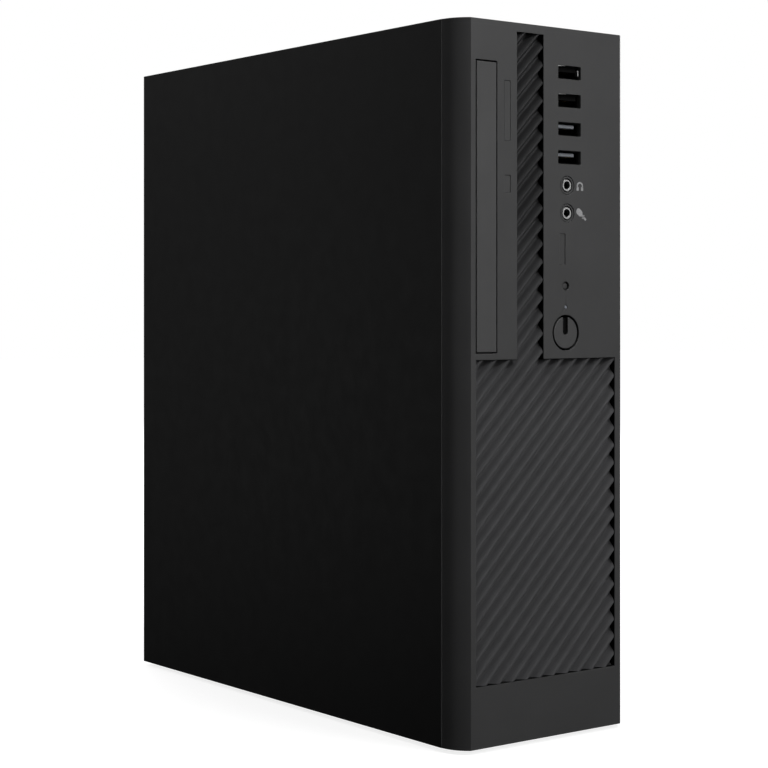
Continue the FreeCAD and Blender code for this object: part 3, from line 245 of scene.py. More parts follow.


# Heights in metres between which painted shade darkens the ribbed panel's plastic
RIB_SHADE_STARTS, RIB_SHADE_FULL = 0.155, 0.25


def rib_plastic():
    """Charcoal ABS of the ribbed panel, duller than the bezel's, with painted shade that darkens it up its
    strip.
    """
    paint = Paint("rib_plastic", 0.5, specular=0.1)
    height = paint.add("ShaderNodeSeparateXYZ")
    fill(height, {"Vector": paint.place})
    share = paint.add("ShaderNodeMapRange")
    fill(share, {"From Min": RIB_SHADE_STARTS, "From Max": RIB_SHADE_FULL, "Value": height.outputs["Z"]})
    # Painted shade: paler low in the field, darker up the strip
    tone = paint.ramp(share.outputs["Result"], [(0, grey(0.072)), (1, grey(0.022))])
    mottle = paint.ramp(paint.grain(6, 3), [(0.3, grey(0.85)), (0.7, grey(1.0))])
    mix = paint.add("ShaderNodeMix", data_type="RGBA", blend_type="MULTIPLY")
    fill(mix, {"Factor": 1.0, "A": tone, "B": mottle})
    paint.colour(mix.outputs["Result"])
    paint.roughness(paint.grain(3, 4), 0.42, 0.54)
    return paint.bump(paint.grain(0.35, 3), 0.02, 0.5).material


def black_steel():
    """Steel with a satin black powder coat: orange peel and a fine pebble."""
    paint = Paint("black_steel", 0.45, specular=0.3)
    cloud = paint.grain(60, 3)
    tone = paint.ramp(cloud, [(0.3, grey(0.0065)), (0.7, grey(0.0085))])
    # Painted highlight along the steel's sharp edges
    paint.colour(paint.painted_edge_highlight(tone, grey(0.03), 0.4))
    paint.roughness(paint.grain(9, 4), 0.42, 0.55)
    paint.bump(paint.grain(1.4, 2), 0.03, 0.4)
    return paint.bump(paint.grain(0.4, 2), 0.015, 0.5).material


def plastic(name, tone, roughness, spot_mm=30, speck_mm=0.5, specular=0.4):
    """Moulded plastic: slight clouding, a painted highlight on sharp edges, uneven gloss and a fine surface
    texture.
    """
    paint = Paint(name, roughness, specular=specular)
    darker = tuple(0.85 * part for part in tone)
    highlight_colour = tuple(min(1.0, 1.8 * part + 0.01) for part in tone)
    cloud = paint.ramp(paint.grain(spot_mm, 3), [(0.3, darker), (0.7, tone)])
    # Painted highlight along sharp edges
    paint.colour(paint.painted_edge_highlight(cloud, highlight_colour, 0.35))
    paint.roughness(paint.grain(4, 4), roughness - 0.06, roughness + 0.08)
    return paint.bump(paint.grain(speck_mm, 2), 0.012, 0.5).material


def metal(name, tone, roughness, streaks=(1, 1, 1), spot_mm=2.0, depth_mm=0.006):
    """Bare metal with brushing or casting grain that also breaks up its gloss."""
    paint = Paint(name, roughness, metallic=1.0)
    place = paint.stretched(streaks)
    darker = tuple(0.75 * part for part in tone)
    paint.colour(paint.ramp(paint.grain(spot_mm, 5, place), [(0.25, darker), (0.75, tone)]))
    paint.roughness(paint.grain(spot_mm * 0.6, 4, place), roughness - 0.08, roughness + 0.12)
    return paint.bump(paint.grain(spot_mm * 0.4, 3, place), depth_mm, 0.6).material


def zinc_steel():
    """Galvanised sheet: crystals of slightly different grey and gloss, lightly rolled."""
    paint = Paint("bare_steel", 0.4, metallic=1.0)
    cells = paint.add("ShaderNodeTexVoronoi")
    fill(cells, {"Scale": 240, "Vector": paint.place})
    split = paint.add("ShaderNodeSeparateColor")
    fill(split, {"Color": cells.outputs["Color"]})
    paint.colour(paint.ramp(split.outputs["Red"], [(0, grey(0.42)), (1, grey(0.48))]))
    paint.roughness(split.outputs["Green"], 0.38, 0.46)
    return paint.bump(paint.grain(0.8, 3), 0.005, 0.5).material


def circuit_board():
    """Solder mask over raised copper tracks that run along two directions."""
    paint = Paint("circuit_board", 0.35, coat=0.2)
    tracks = paint.add("ShaderNodeTexBrick")
    fill(tracks, {"Scale": 90, "Mortar Size": 0.012, "Brick Width": 0.9, "Row Height": 0.12})
    turn = paint.add("ShaderNodeMapping")
    fill(turn, {"Rotation": (0, math.radians(90), 0), "Vector": paint.place})
    fill(tracks, {"Vector": turn.outputs["Vector"]})
    mask = paint.ramp(paint.grain(25, 3), [(0.3, (0.004, 0.022, 0.012)), (0.7, (0.006, 0.032, 0.018))])
    copper = paint.ramp(paint.grain(10, 3), [(0.3, (0.012, 0.06, 0.03)), (0.7, (0.018, 0.08, 0.04))])
    mix = paint.add("ShaderNodeMix", data_type="RGBA")
    fill(mix, {"Factor": tracks.outputs["Fac"], "A": mask, "B": copper})
    paint.colour(mix.outputs["Result"])
    paint.roughness(paint.grain(6, 3), 0.28, 0.42)
    return paint.bump(tracks.outputs["Fac"], 0.03, 0.6).material


def rubber():
    paint = Paint("rubber", 0.8, specular=0.25)
    paint.colour(paint.ramp(paint.grain(5, 4), [(0.3, grey(0.012)), (0.7, grey(0.02))]))
    paint.roughness(paint.grain(2, 4), 0.72, 0.9)
    return paint.bump(paint.grain(0.6, 3), 0.05, 0.8).material


def printed_mark():
    """Thin pale ink with pinholes."""
    paint = Paint("pale_ink", 0.6)
    paint.colour(paint.ramp(paint.grain(0.5, 3), [(0.3, grey(0.28)), (0.6, grey(0.42))]))
    return paint.bump(paint.grain(0.2, 2), 0.01, 0.4).material


MATERIALS = {
    "bezel_plastic": bezel_plastic(),
    "black_steel": black_steel(),
    "black_plastic": plastic("black_plastic", grey(0.012), 0.5),
    "grey_plastic": plastic("grey_plastic", (0.15, 0.165, 0.19), 0.45),
    "blue_plastic": plastic("blue_plastic", (0.02, 0.06, 0.28), 0.45),
    "ivory_plastic": plastic("ivory_plastic", (0.55, 0.52, 0.42), 0.45),
    "smoked_plastic": plastic("smoked_plastic", grey(0.042), 0.4),
    "bare_steel": zinc_steel(),
    "socket_metal": metal("socket_metal", (0.42, 0.42, 0.42), 0.36),
    "screw_metal": metal("screw_metal", (0.5, 0.5, 0.5), 0.3, spot_mm=1.0),
    "cast_alloy": metal("cast_alloy", (0.6, 0.61, 0.63), 0.35, streaks=(1, 0.06, 1)),
    "brass": metal("brass", (0.6, 0.42, 0.16), 0.3, spot_mm=1.0),
    "circuit_board": circuit_board(),
    "rubber": rubber(),
}
INK = printed_mark()
RIB_PAINT = rib_plastic()
LAMP = plastic("lamp_lens", (0.26, 0.28, 0.32), 0.3)
# Painted shade: near black, on sheets and parts deep in openings; on parts that are really black it also
# darkens them to that shade
SHADE = plastic("recess_painted_shade", grey(0.0015), 0.8, specular=0.1)
INSERT = plastic("face_insert", grey(0.042), 0.45)
# Glossier than the bezel, and paler: the paler tone is painted light on the power cap and the disc door
CAP = plastic("glossy_cap_painted_light", grey(0.051), 0.42)
# Painted highlight: pale strips along the bezel's seam with the case
SEAM_HIGHLIGHT = plastic("seam_painted_highlight", grey(0.11), 0.45)
TONGUE = plastic("blue_grey_tongue", (0.23, 0.245, 0.27), 0.4)
GOLD = metal("contact_gold", (0.75, 0.5, 0.16), 0.25, spot_mm=0.5)


# ---- Mesh helpers, in millimetres ----

def span(node):
    """Lowest and highest corner of a CAD node, in millimetres."""
    return tuple(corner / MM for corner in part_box(node))


def middle_of(node):
    low, high = span(node)
    return (low + high) / 2


SAME_PLACE = 1e-4


class Shape:
    """Mesh that is gathered from simple closed solids, then made into one piece."""

    def __init__(self):
        self.mesh = bmesh.new()

    def box(self, low, high, bevel=0.15, steps=2):
        """Box with rounded edges."""
        low, high = Vector(low), Vector(high)
        made = bmesh.ops.create_cube(self.mesh, size=1)["verts"]
        extent = high - low
        bmesh.ops.scale(self.mesh, vec=extent, verts=made)
        bmesh.ops.translate(self.mesh, vec=(low + high) / 2, verts=made)
        if bevel:
            edges = list({edge for vert in made for edge in vert.link_edges})
            width = min(bevel, 0.4 * min(extent))
            bmesh.ops.bevel(
                self.mesh, geom=edges, offset=width, segments=steps, affect="EDGES", profile=0.5)
        return self

    def lathe(self, profile, origin, axis="y", sides=48):
        """Closed ring of (radius, along) points turned about an axis through the origin."""
        along_axis = "xyz".index(axis)
        first, second = [index for index in range(3) if index != along_axis]
        rings = []
        for step in range(sides):
            turn = 2 * math.pi * step / sides
            ring = []
            for radius, along in profile:
                place = list(origin)
                place[along_axis] += along
                place[first] += radius * math.cos(turn)
                place[second] += radius * math.sin(turn)
                ring.append(self.mesh.verts.new(place))
            rings.append(ring)
        for step in range(sides):
            here, there = rings[step], rings[(step + 1) % sides]
            for index in range(len(profile)):
                following = (index + 1) % len(profile)
                self.mesh.faces.new((here[index], here[following], there[following], there[index]))
        on_axis = [vert for ring in rings for vert, (radius, along) in zip(ring, profile) if radius == 0]
        bmesh.ops.remove_doubles(self.mesh, verts=on_axis, dist=SAME_PLACE)
        return self

    def disc(self, radius, low, high, origin, axis="y", bevel=0.2, sides=48):
        """Solid cylinder between two places along the axis, with rounded rims."""
        steps = 3
        turns = [math.pi / 2 * step / steps for step in range(steps + 1)]
        flat = radius - bevel
        profile = [(0, low)]
        profile += [(flat + bevel * math.sin(turn), low + bevel - bevel * math.cos(turn)) for turn in turns]
        profile += [(flat + bevel * math.cos(turn), high - bevel + bevel * math.sin(turn)) for turn in turns]
        profile.append((0, high))
        return self.lathe(profile, origin, axis, sides)

    def ring(self, inner, outer, low, high, origin, axis="y", bevel=0.15, sides=48):
        """Tube between two radii, with chamfered rims."""
        profile = [
            (inner, low + bevel), (inner + bevel, low), (outer - bevel, low), (outer, low + bevel),
            (outer, high - bevel), (outer - bevel, high), (inner + bevel, high), (inner, high - bevel),
        ]
        return self.lathe(profile, origin, axis, sides)

    def prism(self, outline, low, high, axis="y"):
        """Outline of two-coordinate points made solid between two places along an axis."""
        along_axis = "xyz".index(axis)
        first, second = [index for index in range(3) if index != along_axis]
        layers = []
        for level in (low, high):
            layer = []
            for across, up in outline:
                place = [0, 0, 0]
                place[along_axis], place[first], place[second] = level, across, up
                layer.append(self.mesh.verts.new(place))
            layers.append(layer)
        return self.close(*layers)

    def close(self, near, far):
        """Joins two outlines of vertices and fills both."""
        self.mesh.faces.new(near)
        self.mesh.faces.new(list(reversed(far)))
        for index in range(len(near)):
            following = (index + 1) % len(near)
            self.mesh.faces.new((near[following], near[index], far[index], far[following]))
        return self

    def take(self, data):
        """Adds an existing mesh."""
        self.mesh.from_mesh(data)
        return self

    def data(self, name, smooth_below=35):
        """Mesh in metres, smooth except where it turns by more than some degrees."""
        bmesh.ops.recalc_face_normals(self.mesh, faces=self.mesh.faces)
        bmesh.ops.scale(self.mesh, vec=(MM, MM, MM), verts=self.mesh.verts)
        data = bpy.data.meshes.new(name)
        self.mesh.to_mesh(data)
        self.mesh.free()
        data.shade_smooth()
        data.set_sharp_from_angle(angle=math.radians(smooth_below))
        return data

    def piece(self, name, body, slot, paint=None, replaced=(), smooth_below=35):
        """Finished object that rides on a body."""
        item = add_object(name, self.data(name, smooth_below))
        item.data.materials.append(paint or MATERIALS[slot])
        item.modifiers.new("normals", "WEIGHTED_NORMAL").keep_sharp = True
        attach(item, body)
        if replaced:
            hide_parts(*replaced)
        return item


def rectangle(left, right, low, high, radius=0.3, steps=3):
    """Outline with rounded corners."""
    corners = [(right - radius, high - radius, 0), (left + radius, high - radius, 90),
               (left + radius, low + radius, 180), (right - radius, low + radius, 270)]
    outline = []
    for across, up, start in corners:
        for step in range(steps + 1):
            turn = math.radians(start + 90 * step / steps)
            outline.append((across + radius * math.cos(turn), up + radius * math.sin(turn)))
    return outline


def circle(across, up, radius, sides=64):
    """Round outline about a two-coordinate place."""
    turns = [2 * math.pi * step / sides for step in range(sides)]
    return [(across + radius * math.cos(turn), up + radius * math.sin(turn)) for turn in turns]


def plate(outline, holes, front, back, bevel):
    """Mesh of an upright plate, in millimetres, whose outline and holes all have rounded edges."""
    curve = bpy.data.curves.new("plate_outline", "CURVE")
    curve.dimensions = "2D"
    curve.fill_mode = "BOTH"
    curve.bevel_depth = bevel
    curve.bevel_resolution = 2
    curve.offset = -bevel
    curve.extrude = (back - front) / 2 - bevel
    for points in [outline] + list(holes):
        spline = curve.splines.new("POLY")
        spline.points.add(len(points) - 1)
        spline.use_cyclic_u = True
        for point, (across, up) in zip(spline.points, points):
            point.co = (across, up, 0, 1)
    item = bpy.data.objects.new("plate_outline", curve)
    data = bpy.data.meshes.new_from_object(item)
    bpy.data.objects.remove(item)
    bpy.data.curves.remove(curve)
    data.transform(Matrix.Translation((0, (front + back) / 2, 0)) @ Matrix.Rotation(math.pi / 2, 4, "X"))
    fresh = bmesh.new()
    fresh.from_mesh(data)
    bmesh.ops.remove_doubles(fresh, verts=fresh.verts, dist=SAME_PLACE)
    fresh.to_mesh(data)
    fresh.free()
    return data


# ---- Front bezel ----

FACE_SET_BACK = 0.04
FACE_DEPTH = 3.9
FACE_ROUND = 0.2
# How far the face plate reaches under the end caps and into the sides
FACE_TUCK = 0.3
FACE_OVERLAP = 0.03
EJECT_RIM = -0.68
LAMP_GAP = 0.05
# Convex sides: how deep and how far in they curve
BAND_DEPTH = 12.7
BAND_INSET = 6.5
BEAD = 0.35
BEAD_WIDTH = 0.4
SEAM_THICK = 0.1
# Pale strips of painted highlight along the seam: their width, how far short of the ends they stop, their
# rounding
SEAM_SIDE = 0.4
SEAM_END = 1
SEAM_ROUND = 0.08
WALL = 2.4
# Inverted T of the ribbed field: its lip behind the face, the strip's sides and the shoulder's drop
FIELD_LIP = 1.5
STRIP_LEFT, STRIP_RIGHT = -18.8, -2.5
SHOULDER_DROP = 3.5
# Liner painted as shade on the field's walls: how far it reaches into the opening, how far behind the face
# plate, where it starts and ends in depth
LINER = 0.15
LINER_GROW = 0.25
LINER_FROM, LINER_TO = 0.3, 3.7
# Ribs: spacing, place of the first, share of the spacing that rises, depth
RIB_PITCH = 8.3
RIB_PHASE = 6.2
RIB_STEEP = 0.36
RIB_DEPTH = 3.2
RIB_STEPS = 20
RIB_REACH = 400
RIB_TRIM = 0.3
RIB_CUT_SPARE = 5
NUDGE = 0.01
FRONT_FACING = -0.2
# Round holes in the face, by what sits in them, and the openings round the USB shells
ROUND_HOLES = {"headphone_jack": 4.4, "microphone_jack": 4.4, "reset_button": 2.0, "power_lamp": 0.85,
               "power_button": 8.35}
USB_SHELL_HEIGHT = 5.8
USB_OPENING = (14.3, 6.3)
USB_CORNER = 0.5


def band_edge(side, inset, front, steps=20):
    """Points down one convex side of the bezel, from its back edge to its face."""
    high = span("front_bezel")[1]
    half, back = high.x, high.y
    radius = (BAND_INSET ** 2 + BAND_DEPTH ** 2) / (2 * BAND_INSET)
    centre = half - radius
    reach = math.asin((back - front) / (radius - inset))
    points = []
    for step in range(steps + 1):
        turn = reach * step / steps
        points.append((side * (centre + (radius - inset) * math.cos(turn)),
                       back - (radius - inset) * math.sin(turn)))
    return points


def field_outline(grow):
    """Inverted T of the ribbed field and its strip, grown or shrunk by some millimetres."""
    low, high = span("rib_panel")
    half = high.x - FIELD_LIP + grow
    strip_left, strip_right = STRIP_LEFT - grow, STRIP_RIGHT + grow
    top, bottom = high.z - FIELD_LIP + grow, low.z + FIELD_LIP - grow
    shoulder = span("disc_door")[0].z - SHOULDER_DROP + grow
    return [(strip_left, top), (strip_left, shoulder), (-half, shoulder), (-half, bottom), (half, bottom),
            (half, shoulder), (strip_right, shoulder), (strip_right, top)]


def grown(node, gap):
    """Opening round a CAD node that leaves a gap, or covers its rim where the gap is negative."""
    low, high = span(node)
    return rectangle(low.x - gap, high.x + gap, low.z - gap, high.z + gap)


def door_opening():
    """Opening of the disc door: its gap is narrowest on the right."""
    low, high = span("disc_door")
    return rectangle(low.x - 0.55, high.x + 0.35, low.z - 0.6, high.z + 0.65, 0.4)


def usb_places():
    """Middle of each front USB socket."""
    low, high = span("usb_shells")
    pitch = (high.z - low.z - USB_SHELL_HEIGHT) / 3
    top = high.z - USB_SHELL_HEIGHT / 2
    return [((low.x + high.x) / 2, top - port * pitch) for port in range(4)]


def beaded_edge(side, front):
    """Outer edge of one convex side, behind a narrow bead along the seam with the case."""
    high = span("front_bezel")[1]
    across = side * (high.x - SEAM_THICK)
    bead = [(across, high.y), (across, high.y - BEAD_WIDTH)]
    return bead + [(x, y - BEAD_WIDTH - BEAD if step == 0 else y)
                   for step, (x, y) in enumerate(band_edge(side, BEAD, front))]


def bezel():
    """Hood with convex sides and a pierced face, pale strips of painted highlight along its seam, and a
    liner painted as shade.
    """
    low, high = span("front_bezel")
    front = low.y + FACE_SET_BACK
    shape = Shape()
    for side in (-1, 1):
        outline = beaded_edge(side, front) + list(reversed(band_edge(side, WALL, front + WALL)))
        shape.prism(outline, low.z + WALL, high.z - WALL, "z")
    cap = beaded_edge(-1, front) + list(reversed(beaded_edge(1, front)))
    for bottom, top in ((low.z, low.z + WALL), (high.z - WALL, high.z)):
        shape.prism(cap, bottom, top, "z")
    holes = [
        field_outline(0),
        door_opening(),
        grown("disc_lamp", LAMP_GAP),
        grown("activity_lamp", LAMP_GAP),
        grown("eject_button", EJECT_RIM),
    ]
    width, height = USB_OPENING
    for across, up in usb_places():
        left, bottom = across - width / 2, up - height / 2
        holes.append(rectangle(left, left + width, bottom, bottom + height, USB_CORNER))
    for node, radius in ROUND_HOLES.items():
        middle = middle_of(node)
        holes.append(circle(middle.x, middle.z, radius))
    half = beaded_edge(1, front)[-1][0] + FACE_OVERLAP
    outline = rectangle(-half, half, low.z + WALL - FACE_TUCK, high.z - WALL + FACE_TUCK)
    shape.take(plate(outline, holes, front, front + FACE_DEPTH, FACE_ROUND))
    shape.piece("bezel_shell", "case", "bezel_plastic", replaced=["front_bezel"])
    # Painted highlight strips along both sides of the seam
    seam = Shape()
    for left, right in ((low.x, low.x + SEAM_SIDE), (high.x - SEAM_SIDE, high.x)):
        seam.box((left, high.y - BEAD_WIDTH, low.z + SEAM_END),
                 (right, high.y, high.z - SEAM_END), SEAM_ROUND)
    seam.piece("seam_highlight_strips", "case", "bezel_plastic", SEAM_HIGHLIGHT)
    # Liner painted as the shade on the walls of the ribbed field's opening
    holes = [field_outline(-LINER)]
    liner = plate(field_outline(LINER_GROW), holes, front + LINER_FROM, front + LINER_TO, 0)
    Shape().take(liner).piece("field_shade_liner", "case", "black_plastic", SHADE)


def rib_share(place):
    """Share of full height at a place across one rib: a steep rise, then a gentle fall."""
    if place < RIB_STEEP:
        turn = math.pi * place / RIB_STEEP
    else:
        turn = math.pi * (1 + (place - RIB_STEEP) / (1 - RIB_STEEP))
    return (1 - math.cos(turn)) / 2


def ribs():
    """Diagonal sawtooth field, cut to the inverted T, with the surface normals of its true curve."""
    low, high = span("rib_panel")
    crest, trough, back = low.y, low.y + RIB_DEPTH, high.y
    first = math.floor((low.z - high.x - RIB_PHASE) / RIB_PITCH) - 1
    last = math.ceil((high.z - low.x - RIB_PHASE) / RIB_PITCH) + 1
    profile = []
    for step in range((last - first) * RIB_STEPS):
        place = first + step / RIB_STEPS
        profile.append((RIB_PHASE + place * RIB_PITCH, trough + (crest - trough) * rib_share(place % 1)))
    profile += [(profile[-1][0], back), (profile[0][0], back)]
    shape = Shape()
    ends = []
    for shift in (-RIB_REACH, RIB_REACH):
        ends.append([shape.mesh.verts.new((-u / 2 + shift, y, u / 2 + shift)) for u, y in profile])
    shape.close(*ends)
    cutter = Shape().prism(field_outline(RIB_TRIM), crest - RIB_CUT_SPARE, back + RIB_CUT_SPARE)
    item = shape.piece("rib_field", "case", "bezel_plastic", RIB_PAINT, replaced=["rib_panel"])
    blade = add_object("rib_cutter", cutter.data("rib_cutter"))
    trim = item.modifiers.new("trim", "BOOLEAN")
    trim.operation = "INTERSECT"
    trim.solver = "EXACT"
    trim.object = blade
    bpy.context.view_layer.update()
    trimmed = bpy.data.meshes.new_from_object(item.evaluated_get(bpy.context.evaluated_depsgraph_get()))
    item.modifiers.clear()
    item.data = trimmed
    bpy.data.objects.remove(blade)
    normals = []
    for face in trimmed.polygons:
        face.use_smooth = True
        for corner in face.loop_indices:
            x, y, z = trimmed.vertices[trimmed.loops[corner].vertex_index].co / MM
            place = (z - x - RIB_PHASE) / RIB_PITCH
            lift = rib_share((place + NUDGE) % 1) - rib_share((place - NUDGE) % 1)
            slope = (crest - trough) * lift / (2 * NUDGE * RIB_PITCH)
            ribbed = face.normal.y < FRONT_FACING
            normals.append(Vector((-slope, -1, slope)).normalized() if ribbed else face.normal.copy())
    trimmed.normals_split_custom_set(normals)


# ---- Front buttons and sockets ----

def power_button():
    """Cap with a groove that runs from its top rim to its middle, over a body painted near black as shade.
    """
    low, high = span("power_button")
    middle = (low + high) / 2
    rim_gap, groove, groove_rise = 0.5, 1.45, 0.4
    radius = (high.x - low.x) / 2 - rim_gap
    lean = math.asin(groove / radius)
    outline = []
    rim_steps, end_steps = 72, 8
    for step in range(rim_steps + 1):
        turn = math.pi / 2 - lean - (2 * math.pi - 2 * lean) * step / rim_steps
        outline.append((middle.x + radius * math.cos(turn), middle.z + radius * math.sin(turn)))
    for step in range(end_steps + 1):
        turn = math.pi + math.pi * step / end_steps
        outline.append((middle.x + groove * math.cos(turn),
                        middle.z + groove * math.sin(turn) + groove_rise))
    front = low.y + FACE_SET_BACK
    cap_thick, overlap, body_depth, stem_radius = 1.4, 0.3, 3.4, 1.7
    cap = Shape().take(plate(outline, [], front, front + cap_thick, 0.3))
    # Cap paint is paler than the bezel: painted light
    cap.piece("power_cap", "power_button", "bezel_plastic", CAP, replaced=["power_button"])
    origin = (middle.x, 0, middle.z)
    body = Shape().disc(radius - 0.3, front + cap_thick - overlap, front + body_depth, origin)
    body.disc(stem_radius, front + body_depth, high.y, origin)
    # Body painted near black: painted shade behind the groove and the gap round the cap
    body.piece("power_groove", "power_button", "black_plastic", SHADE)


def reset_button():
    """Round pin with a collar behind the face and a thinner stem."""
    low, high = span("reset_button")
    middle = (low + high) / 2
    origin = (middle.x, 0, middle.z)
    collar, stem = low.y + 4.8, low.y + 5.6
    shape = Shape().disc(1.6, low.y, collar, origin, bevel=0.4)
    shape.disc(3.2, collar, stem, origin).disc(1.5, stem, high.y, origin)
    shape.piece("reset_cap", "reset_button", "bezel_plastic", replaced=["reset_button"])


def audio_jacks():
    """Nickel ring in a dish in the bezel, with a black body bored for a plug, painted darker as the shade in
    its bore.
    """
    face = span("front_bezel")[0].y + FACE_SET_BACK
    bore = 1.78
    for node in ("headphone_jack", "microphone_jack"):
        low, high = span(node)
        middle = (low + high) / 2
        origin = (middle.x, 0, middle.z)
        floor, neck, end = low.y + 1.2, low.y + 5, low.y + 14
        ring = Shape().ring(bore, 2.85, face + 0.3, floor, origin, bevel=0.22)
        ring.piece(f"{node}_ring", "case", "socket_metal", replaced=[node])
        rim = [(4.6, face + 0.5), (4.3, face + 0.5), (4.1, face + 0.2), (3.4, face + 0.2), (3.1, face + 0.9)]
        dish = Shape().lathe(rim + [(3.0, floor), (4.6, floor)], origin)
        dish.piece(f"{node}_dish", "case", "bezel_plastic")
        body = Shape().ring(bore, 3.4, low.y + 1.0, neck, origin)
        body.ring(bore, 4.55, neck, end, origin, sides=32).disc(4.5, end, high.y, origin)
        # Black body, painted near black as painted shade in the bore
        body.piece(f"{node}_body", "case", "black_plastic", SHADE)


def usb_contacts():
    """Contacts under the front tongues, the lower pair of tongues, and the glints in the upper sockets."""
    strips, tongues = Shape(), Shape()
    low, high = span("lower_usb_tongues")
    upwards = usb_places()[::-1]
    for across, up in upwards[:2]:
        tongues.box((across - 5.6, low.y, up + 0.45), (across + 4.6, high.y, up + 2.2), 0.4, 3)
    tongues.piece("lower_tongue_pair", "case", "grey_plastic", TONGUE, replaced=["lower_usb_tongues"])
    contacts, contact_row, contact_half, contact_thick = 4, 7, 0.5, 0.06
    front, back = low.y + 2.5, low.y + 7.5
    for across, up in upwards:
        under = up + 0.4
        for strip in range(contacts):
            centre = across - contact_row / 2 + strip * contact_row / (contacts - 1)
            strips.box((centre - contact_half, front, under - contact_thick),
                       (centre + contact_half, back, under), 0.02, 1)
    strips.piece("usb_contacts", "case", "socket_metal", GOLD)
    rims = Shape()
    front = span("front_bezel")[0].y + 0.4
    width, height = USB_OPENING
    wedge_long, wedge_tip = 5, 0.05
    for thick, (across, up) in zip((0.25, 0.35), upwards[2:]):
        left, top = across - width / 2 + 0.1, up + height / 2
        right = left + wedge_long
        wedge = [(left, top), (left, top - thick), (right, top - wedge_tip), (right, top)]
        rims.prism(wedge, front, front + 1)
    across, up = upwards[-1]
    right = across + width / 2 - 1.3
    rims.box((right - 0.45, front, up - 1.4), (right, front + 2, up + 1.5), 0.15)
    rims.piece("usb_rims", "case", "socket_metal")


def flat_stroke(shape, points, width, front, thick):
    """Printed line of even width through two-coordinate points on the face."""
    for (x0, z0), (x1, z1) in zip(points, points[1:]):
        length = math.hypot(x1 - x0, z1 - z0)
        nx, nz = -(z1 - z0) / length * width / 2, (x1 - x0) / length * width / 2
        ex, ez = (x1 - x0) / length * width / 4, (z1 - z0) / length * width / 4
        shape.prism([(x0 + nx - ex, z0 + nz - ez), (x1 + nx + ex, z1 + nz + ez),
                     (x1 - nx + ex, z1 - nz + ez), (x0 - nx - ex, z0 - nz - ez)], front, front + thick)


def printed_icons():
    """Generic headphone and microphone signs beside the two audio sockets."""
    front = span("front_bezel")[0].y
    thick = FACE_SET_BACK + 0.05
    headphone, microphone = middle_of("headphone_jack"), middle_of("microphone_jack")
    shape = Shape()
    centre_x, centre_z, radius = headphone.x + 8.0, headphone.z - 0.1, 1.7
    half_line, arch_from, arch_turn, arch_steps = 0.4, -20, 220, 12
    outer, inner = [], []
    for step in range(arch_steps + 1):
        turn = math.radians(arch_from + arch_turn * step / arch_steps)
        for rim, reach in ((outer, radius + half_line), (inner, radius - half_line)):
            rim.append((centre_x + reach * math.cos(turn), centre_z + reach * math.sin(turn)))
    shape.prism(outer + inner[::-1], front, front + thick)
    for side in (-1, 1):
        across = centre_x + side * (radius - 0.25)
        cup = rectangle(across - 0.7, across + 0.7, centre_z - 2.1, centre_z - 0.3, 0.4)
        shape.prism(cup, front, front + thick)
    lean = math.radians(-40)
    head = Vector((microphone.x + 7.7, microphone.z + 0.6))
    along, across = Vector((math.cos(lean), math.sin(lean))), Vector((-math.sin(lean), math.cos(lean)))
    capsule = []
    capsule_steps, half_straight = 16, 0.7
    for step in range(capsule_steps):
        turn = 2 * math.pi * step / capsule_steps
        stretch = half_straight if math.cos(turn) > 0 else -half_straight
        point = head + along * (1.45 * math.cos(turn) + stretch) + across * 1.5 * math.sin(turn)
        capsule.append(tuple(point))
    shape.prism(capsule, front, front + thick)
    stem = [tuple(head + along * reach) for reach in (2.3, 5.2)]
    flat_stroke(shape, stem, 1.1, front, thick)
    bar = [tuple(head + along * 3.2 + across * side) for side in (-1, 1)]
    flat_stroke(shape, bar, 0.5, front, thick)
    shape.piece("socket_signs", "case", "bezel_plastic", INK)


def front_lamps():
    """Pale lens of the power lamp, and two charcoal lamp bars just behind the face."""
    face = span("front_bezel")[0].y + FACE_SET_BACK
    for node in ("disc_lamp", "activity_lamp"):
        low, high = span(node)
        bar = Shape().box((low.x, face + 0.3, low.z), (high.x, high.y, high.z), 0.12)
        bar.piece(f"{node}_lens", "case", "smoked_plastic", INSERT, replaced=[node])
    low, high = span("power_lamp")
    middle = (low + high) / 2
    Shape().disc(0.8, face + 0.1, high.y, (middle.x, 0, middle.z), bevel=0.25, sides=24).piece(
        "power_lens", "case", "smoked_plastic", LAMP, replaced=["power_lamp"])


# ---- Back of the case ----

def thumbscrews():
    """Knurled heads with a cross slot on the two screws of the cover."""
    low, high = span("cover_screws")
    across, radius = (low.x + high.x) / 2, (high.x - low.x) / 2
    seat = span("side_cover")[1].y
    teeth, tooth_depth, slot_half, slot_reach = 30, 0.35, 0.7, 3
    slot_floor = high.y - 2.2
    for name, height in (("low_thumbscrew", low.z + radius), ("high_thumbscrew", high.z - radius)):
        outline = []
        for step in range(2 * teeth):
            turn = math.pi * step / teeth
            reach = radius - (tooth_depth if step % 2 else 0)
            outline.append((across + reach * math.cos(turn), height + reach * math.sin(turn)))
        cross = []
        corners = ((slot_reach, -slot_half), (slot_reach, slot_half), (slot_half, slot_half))
        for quarter in range(4):
            turn = math.pi / 2 * quarter
            for out, side in corners:
                cross.append((across + out * math.cos(turn) - side * math.sin(turn),
                              height + out * math.sin(turn) + side * math.cos(turn)))
        shape = Shape().take(plate(outline, [cross], slot_floor, high.y, 0.2))
        shape.take(plate(outline, [], seat + 1.2, slot_floor + 0.2, 0.2))
        origin = (across, 0, height)
        shape.disc(radius - 1, seat, seat + 1.4, origin).disc(1.6, low.y, seat + 0.5, origin, bevel=0.3)
        shape.piece(name, "cover", "screw_metal", replaced=["cover_screws"], smooth_below=20)


SOCKET_DEPTH = 12
USB_HALF_OPEN = 2.6
TONGUE_THICK = 1.9
TONGUE_SET_BACK = 0.8


